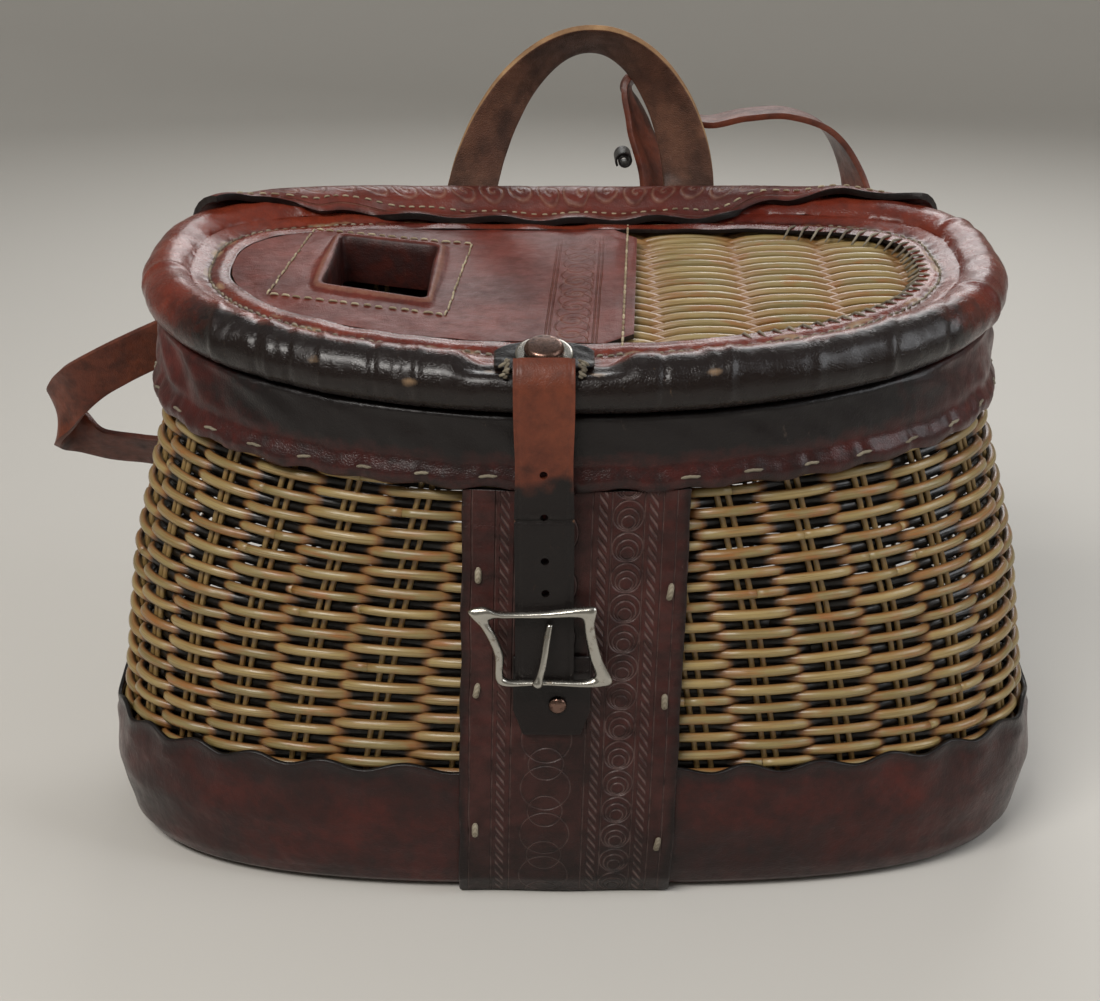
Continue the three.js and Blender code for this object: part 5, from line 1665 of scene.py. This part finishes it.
def panel_tooling(node):
    """Rope borders, a column of overlapping rings at the right, and faint leaves at the left."""
    across, along = cut_place(node)
    ropes = [rope_row(node, along, across, where, 0.0034, 0.0038) for where in PANEL_ROPES]
    lines = [groove_at(node, across, where, 0.0004) for where in PANEL_LINES]
    column = node("Math", across, PANEL_COLUMN, operation="SUBTRACT")
    scrolls = [ring_row(node, along, column, 0.011, radius, shift, 0.0005)
               for radius, shift in ((0.0052, 0.0), (0.0037, 0.1), (0.0023, 0.2))]
    kept = node("MapRange", apart(node, column), 0.0058, 0.0054)
    scrolls = node("Math", all_of(node, *scrolls), kept, operation="MULTIPLY")
    leaf = node("Math", across, PANEL_LEAVES, operation="SUBTRACT")
    leaves = all_of(node, ring_row(node, along, leaf, 0.019, 0.0088, 0.0, 0.0004),
                    ring_row(node, along, leaf, 0.019, 0.0062, 0.5, 0.0004))
    leaves = node("Math", leaves, node("MapRange", apart(node, leaf), 0.0105, 0.01), operation="MULTIPLY")
    leaves = node("Math", leaves, 0.6, operation="MULTIPLY")
    return all_of(node, scrolls, leaves, *ropes, *lines)


# The finishes by name. A leather's four colours are its fresh, deep, blackened and rubbed ones; the blackened
# one also gives painted shade on some pieces.
FINISHES = {
    # Straw and olive rods under a thin gloss, with painted shade where they pass behind or face the inside
    "varnished_willow": willow,
    # Oxblood cowhide, dark and oily, nearly black where it was handled
    "base_hide": partial(leather, "#4a1710", "#2b0e0b", "#140909", "#7d4a33", gloss=0.34, coat=0.25),
    # Maroon cowhide that turns black in front, partly patina and partly painted shadow under the lid, dusty
    # grey along its hem
    "collar_hide": partial(leather, "#57211c", "#3a1513", "#151010", "#7d6a5a", gloss=0.36, coat=0.2),
    # Red-brown cowhide rubbed to a hard shine, black on the front of the roll
    "rim_hide": partial(leather, "#76301f", "#571f17", "#170f0d", "#8f7458", gloss=0.28, coat=0.3),
    # Dull red-brown cowhide with a cloudy, dry surface
    "cover_hide": partial(leather, "#6b291c", "#4e1f18", "#2a1210", "#8a6350", gloss=0.5, coat=0.06,
                          tooling=lid_tooling),
    # The same dry red-brown, with pale dust in its scrolls
    "flap_hide": partial(leather, "#662a1f", "#4c1f19", "#241210", "#9a7866", gloss=0.45, coat=0.12,
                         tooling=flap_tooling),
    # Dark maroon cowhide, its pressed lines picked out by greyish dust, with painted shadow inside the buckle's
    # frame
    "panel_hide": partial(leather, "#4c2824", "#3a1916", "#180c0a", "#86706a", gloss=0.42, coat=0.12,
                          tooling=panel_tooling),
    # Blackened maroon under the buckle
    "chape_hide": partial(leather, "#33191a", "#241210", "#120a09", "#5a4640", gloss=0.42, coat=0.15),
    # Tan-red strap leather, dry on its face and dark in its cloudy patches
    "strap_hide": partial(leather, "#713a27", "#57291c", "#161110", "#94674a", gloss=0.45, coat=0.12),
    # The fleshy side of the handle's band: brown, matt and fibrous
    "handle_flesh": partial(leather, "#6f4c3a", "#593a2d", "#33221b", "#9c7d60", gloss=0.62, coat=0.05,
                            pore_depth=0.00015),
    # Cut edges stained black and waxed
    "dark_edge": partial(leather, "#251c1a", "#191312", "#0f0c0c", "#4a3c34", gloss=0.42, coat=0.15),
    # Cut edges left bare: pale tan fibre, quite matt
    "raw_edge": partial(leather, "#a5845f", "#8a6848", "#6c4f38", "#b99a76", gloss=0.65, coat=0.0),
    # Dull silver-grey plating, brown in cloudy spots
    "plated_steel": partial(nickel, "#b7b4ac", "#6e5d4a", 0.56),
    # Rivet heads whose plating is mostly gone: warm brown metal
    "browned_steel": partial(nickel, "#7d6358", "#3b2a24", 0.45),
    # Cream thread of the lid's seams
    "linen_thread": partial(waxed_thread, "#cdbf9f", "#8c7a5f"),
    # Grey-white lace, soiled
    "soiled_lace": partial(waxed_thread, "#a39a86", "#6b6252"),
}


def skin(name):
    """One of the finishes by name, made once."""
    return bpy.data.materials.get(name) or FINISHES[name](name=name)


class CreelSizes(bpy.types.PropertyGroup):
    """Sizes that can be set before the creel is made."""
    rod_radius: FloatProperty(name="Rod radius", description="Radius of a weaving rod", default=0.00182,
                              min=0.001, max=0.003, subtype="DISTANCE", unit="LENGTH")
    stake_radius: FloatProperty(name="Stake radius", description="Radius of one upright stake", default=0.00115,
                                min=0.001, max=0.003, subtype="DISTANCE", unit="LENGTH")
    ring_pitch: FloatProperty(name="Ring pitch", description="Height of one ring of the weave", default=0.0036,
                              min=0.002, max=0.006, subtype="DISTANCE", unit="LENGTH")
    lamp_power: FloatProperty(name="Lamp power", description="Power of the main lamp, in watts", default=13.0,
                              min=0.0)


class CreelColours(bpy.types.PropertyGroup):
    """Colours of the stage."""
    floor: FloatVectorProperty(name="Floor", description="Colour of the studio floor", subtype="COLOR", size=4,
                               default=colour("#c9c6c0"), min=0, max=1)
    sky: FloatVectorProperty(name="Sky", description="Colour of the soft light from all sides", subtype="COLOR",
                             size=4, default=colour("#f1f0ee"), min=0, max=1)


class CREEL_OT_basket(bpy.types.Operator):
    """Weaves the basket's wall on its stakes and lays its floor"""
    bl_idname = "creel.basket"
    bl_label = "Basket"

    def execute(self, context):
        sizes = context.scene.creel_sizes
        settle(weave_wall(sizes), "wicker", [skin("varnished_willow")], "wicker_body")
        settle(stake_pairs(sizes), "wicker", [skin("varnished_willow")])
        settle(basket_floor(), "wicker", [skin("varnished_willow"), skin("varnished_willow")])
        return {"FINISHED"}


class CREEL_OT_base(bpy.types.Operator):
    """Moulds the leather cup over the basket's bottom"""
    bl_idname = "creel.base"
    bl_label = "Base"

    def execute(self, context):
        settle(base_wrap(), "base_leather", [skin("base_hide"), skin("dark_edge")], "base_wrap")
        return {"FINISHED"}


class CREEL_OT_collar(bpy.types.Operator):
    """Puckers the collar round the top of the basket and stitches its hem"""
    bl_idname = "creel.collar"
    bl_label = "Collar"

    def execute(self, context):
        settle(collar(), "dark_leather", [skin("collar_hide"), skin("dark_edge")], "collar")
        settle(collar_thread(), "flesh_leather", [skin("soiled_lace")])
        return {"FINISHED"}


class CREEL_OT_panel(bpy.types.Operator):
    """Lays the tooled panel down the front and laces it on"""
    bl_idname = "creel.panel"
    bl_label = "Front panel"

    def execute(self, context):
        settle(front_panel(), "tooled_leather", [skin("panel_hide"), skin("dark_edge")], "front_panel")
        settle(panel_laces(), "flesh_leather", [skin("soiled_lace")])
        return {"FINISHED"}


class CREEL_OT_lid(bpy.types.Operator):
    """Weaves the lid, covers its left half and lines the fish hole"""
    bl_idname = "creel.lid"
    bl_label = "Lid"

    def execute(self, context):
        sizes = context.scene.creel_sizes
        settle(weave_lid(sizes), "wicker", [skin("varnished_willow")], "lid_wicker")
        settle(lid_stakes(sizes), "wicker", [skin("varnished_willow")])
        settle(lid_cover(), "lid_leather", [skin("cover_hide"), skin("dark_edge")], "lid_cover", "hole_lining")
        settle(cover_stitches(), "flesh_leather", [skin("linen_thread")])
        return {"FINISHED"}


class CREEL_OT_rim(bpy.types.Operator):
    """Rolls the lid's edge, with its border and stitches"""
    bl_idname = "creel.rim"
    bl_label = "Rim"

    def execute(self, context):
        settle(lid_rim(), "dark_leather", [skin("rim_hide"), skin("dark_edge")], "lid_rim")
        settle(border_stitches(), "flesh_leather", [skin("soiled_lace")])
        return {"FINISHED"}


class CREEL_OT_flap(bpy.types.Operator):
    """Cuts the hinge flap, with its scroll border and stitches"""
    bl_idname = "creel.flap"
    bl_label = "Hinge flap"

    def execute(self, context):
        settle(hinge_flap(), "lid_leather", [skin("flap_hide"), skin("dark_edge")], "hinge_flap")
        settle(flap_stitches(), "flesh_leather", [skin("linen_thread")])
        return {"FINISHED"}


class CREEL_OT_latch(bpy.types.Operator):
    """Rivets the latch on the lid and hangs the closure strap from its slot"""
    bl_idname = "creel.latch"
    bl_label = "Latch"

    def execute(self, context):
        settle(latch_tab(), "dark_leather", [skin("dark_edge"), skin("dark_edge")], "latch_tab")
        settle(latch_washer(), "nickel", [skin("plated_steel")], "latch_washer")
        settle(rivet_cap(), "nickel", [skin("browned_steel")], "rivet_cap")
        settle(slot_tears(), "flesh_leather", [skin("soiled_lace")])
        settle(closure_strap(), "strap_leather", [skin("strap_hide"), skin("strap_hide")], "closure_strap")
        return {"FINISHED"}


class CREEL_OT_buckle(bpy.types.Operator):
    """Casts the buckle and rivets its leather to the panel"""
    bl_idname = "creel.buckle"
    bl_label = "Buckle"

    def execute(self, context):
        settle(buckle_frame(), "nickel", [skin("plated_steel")], "buckle_frame")
        settle(buckle_tongue(), "nickel", [skin("plated_steel")], "buckle_tongue")
        settle(buckle_chape(), "dark_leather", [skin("chape_hide"), skin("dark_edge")], "buckle_chape")
        low = BUCKLE_Z - 0.25 * BUCKLE_HEIGHT - 0.62 * CHAPE_LENGTH
        seat = panel_point(BUCKLE_X + 0.005, low, CHAPE_OUT + CHAPE_LEATHER + GAP - 0.0004)
        profile = [(0, 0), (0.0032, 0), (0.003, 0.0006), (0.0022, 0.0011), (0.001, 0.0014), (0, 0.00145)]
        settle(turned("buckle_rivet", profile, 24, seat, Vector((0, -1, 0))), "nickel", [skin("browned_steel")],
               "chape_rivet")
        return {"FINISHED"}


class CREEL_OT_handle(bpy.types.Operator):
    """Bows the handle out of one band of leather"""
    bl_idname = "creel.handle"
    bl_label = "Handle"

    def execute(self, context):
        settle(handle(), "flesh_leather", [skin("handle_flesh"), skin("raw_edge")], "handle")
        return {"FINISHED"}


class CREEL_OT_strap(bpy.types.Operator):
    """Lays the shoulder strap along its route behind the basket"""
    bl_idname = "creel.strap"
    bl_label = "Shoulder strap"

    def execute(self, context):
        settle(shoulder_strap(), "strap_leather", [skin("strap_hide"), skin("strap_hide")],
               "strap_left", "strap_middle", "strap_right")
        settle(strap_roll(), "dark_leather", [skin("dark_edge"), skin("dark_edge")], "strap_roll")
        return {"FINISHED"}


# Camera: a lens of 54.8 mm on a 36 mm sensor, 0.65 m from its target and 22 degrees above it
CAMERA_LENS = 36 * 1675 / 1100
CAMERA_TARGET = Vector((-0.0091, 0.0, 0.121))
CAMERA_AWAY = 0.65
CAMERA_UP = math.radians(22)


# The stage: a round floor that turns up into a wall, in metres
FLOOR_RADIUS = 1.7
FLOOR_BEND = 0.6
WALL_TOP = 2.4


def studio_floor(paint):
    """A round floor of matt paint with a curved wall, so that each view has the same plain ground."""
    material, node, place = start_material("studio_paint")
    speck = node("Math", cloud(node, place, 0.02, 3.0), 0.05, operation="MULTIPLY")
    shade = node("Mix", speck, tuple(paint), colour("#cfcac2"), data_type="RGBA")
    node("OutputMaterial", Surface=node("BsdfPrincipled", Base_Color=shade, Roughness=0.75))
    profile = [(0, 0), (0.6, 0), (1.2, 0), (FLOOR_RADIUS, 0)]
    for turn in (0.26, 0.52, 0.79, 1.05, 1.31):
        profile.append((FLOOR_RADIUS + FLOOR_BEND * math.sin(turn), FLOOR_BEND * (1 - math.cos(turn))))
    profile += [(FLOOR_RADIUS + FLOOR_BEND, height) for height in (FLOOR_BEND, WALL_TOP)]
    bm = bmesh.new()
    verts = [bm.verts.new((radius, 0, height)) for radius, height in profile]
    edges = [bm.edges.new(pair) for pair in zip(verts, verts[1:])]
    bmesh.ops.spin(bm, geom=verts + edges, cent=(0, 0, 0), axis=(0, 0, 1), angle=2 * math.pi, steps=96,
                   use_merge=True)
    bmesh.ops.remove_doubles(bm, verts=bm.verts, dist=1e-5)
    bmesh.ops.recalc_face_normals(bm, faces=bm.faces)
    bm.normal_update()
    if min(bm.faces, key=lambda face: face.calc_center_median().length).normal.z < 0:
        bmesh.ops.reverse_faces(bm, faces=bm.faces)
    floor = finish_mesh(bm, "studio_floor")
    floor.data.materials.append(material)
    return floor


def lamp(name, where, size, power, tint):
    data = bpy.data.lights.new(name, "AREA")
    data.shape = "RECTANGLE"
    data.size, data.size_y = size
    data.energy = power
    data.color = tint
    made = bpy.data.objects.new(name, data)
    made.location = where
    made.rotation_euler = (Vector((0, 0, 0.12)) - Vector(where)).to_track_quat("-Z", "Y").to_euler()
    bpy.context.scene.collection.objects.link(made)


class CREEL_OT_stage(bpy.types.Operator):
    """Sets the floor, the soft lights and the camera"""
    bl_idname = "creel.stage"
    bl_label = "Stage"

    def execute(self, context):
        scene = context.scene
        studio_floor(scene.creel_colours.floor)
        world = bpy.data.worlds.new("studio_sky")
        world.use_nodes = True
        back = world.node_tree.nodes["Background"]
        back.inputs["Color"].default_value = tuple(scene.creel_colours.sky)
        back.inputs["Strength"].default_value = 0.35
        scene.world = world
        power = scene.creel_sizes.lamp_power
        lamp("key_lamp", (-0.5, -0.75, 1.15), (0.7, 0.35), power, (1.0, 0.97, 0.93))
        lamp("side_lamp", (1.0, -0.35, 0.8), (0.5, 0.8), 0.4 * power, (0.93, 0.96, 1.0))
        lamp("back_lamp", (0.2, 1.1, 0.9), (1.0, 0.4), 0.5 * power, (1.0, 1.0, 1.0))
        camera = bpy.data.cameras.new("camera")
        camera.sensor_width = 36
        camera.lens = CAMERA_LENS
        camera.clip_start = 0.01
        holder = bpy.data.objects.new("camera", camera)
        away = Vector((0, -math.cos(CAMERA_UP), math.sin(CAMERA_UP))) * CAMERA_AWAY
        holder.location = CAMERA_TARGET + away
        holder.rotation_euler = (-away).to_track_quat("-Z", "Y").to_euler()
        scene.collection.objects.link(holder)
        scene.camera = holder
        scene.view_settings.view_transform = "Standard"
        return {"FINISHED"}


class CREEL_PT_panel(bpy.types.Panel):
    """Sizes and steps of the creel"""
    bl_label = "Fishing creel"
    bl_idname = "CREEL_PT_panel"
    bl_space_type = "VIEW_3D"
    bl_region_type = "UI"
    bl_category = "Creel"

    def draw(self, context):
        for group in (context.scene.creel_sizes, context.scene.creel_colours):
            for key in group.__annotations__:
                self.layout.prop(group, key)
        for step in STEPS:
            self.layout.operator(step.bl_idname)


STEPS = (CREEL_OT_stage, CREEL_OT_basket, CREEL_OT_base, CREEL_OT_collar, CREEL_OT_panel, CREEL_OT_lid,
         CREEL_OT_rim, CREEL_OT_flap, CREEL_OT_latch, CREEL_OT_buckle, CREEL_OT_handle, CREEL_OT_strap)
CLASSES = (CreelSizes, CreelColours, *STEPS, CREEL_PT_panel)


def register():
    for made in CLASSES:
        bpy.utils.register_class(made)
    bpy.types.Scene.creel_sizes = PointerProperty(type=CreelSizes)
    bpy.types.Scene.creel_colours = PointerProperty(type=CreelColours)


def unregister():
    del bpy.types.Scene.creel_sizes
    del bpy.types.Scene.creel_colours
    for made in reversed(CLASSES):
        bpy.utils.unregister_class(made)


def main():
    register()
    for step in STEPS:
        family, name = step.bl_idname.split(".")
        getattr(getattr(bpy.ops, family), name)()


if __name__ == "__main__":
    main()
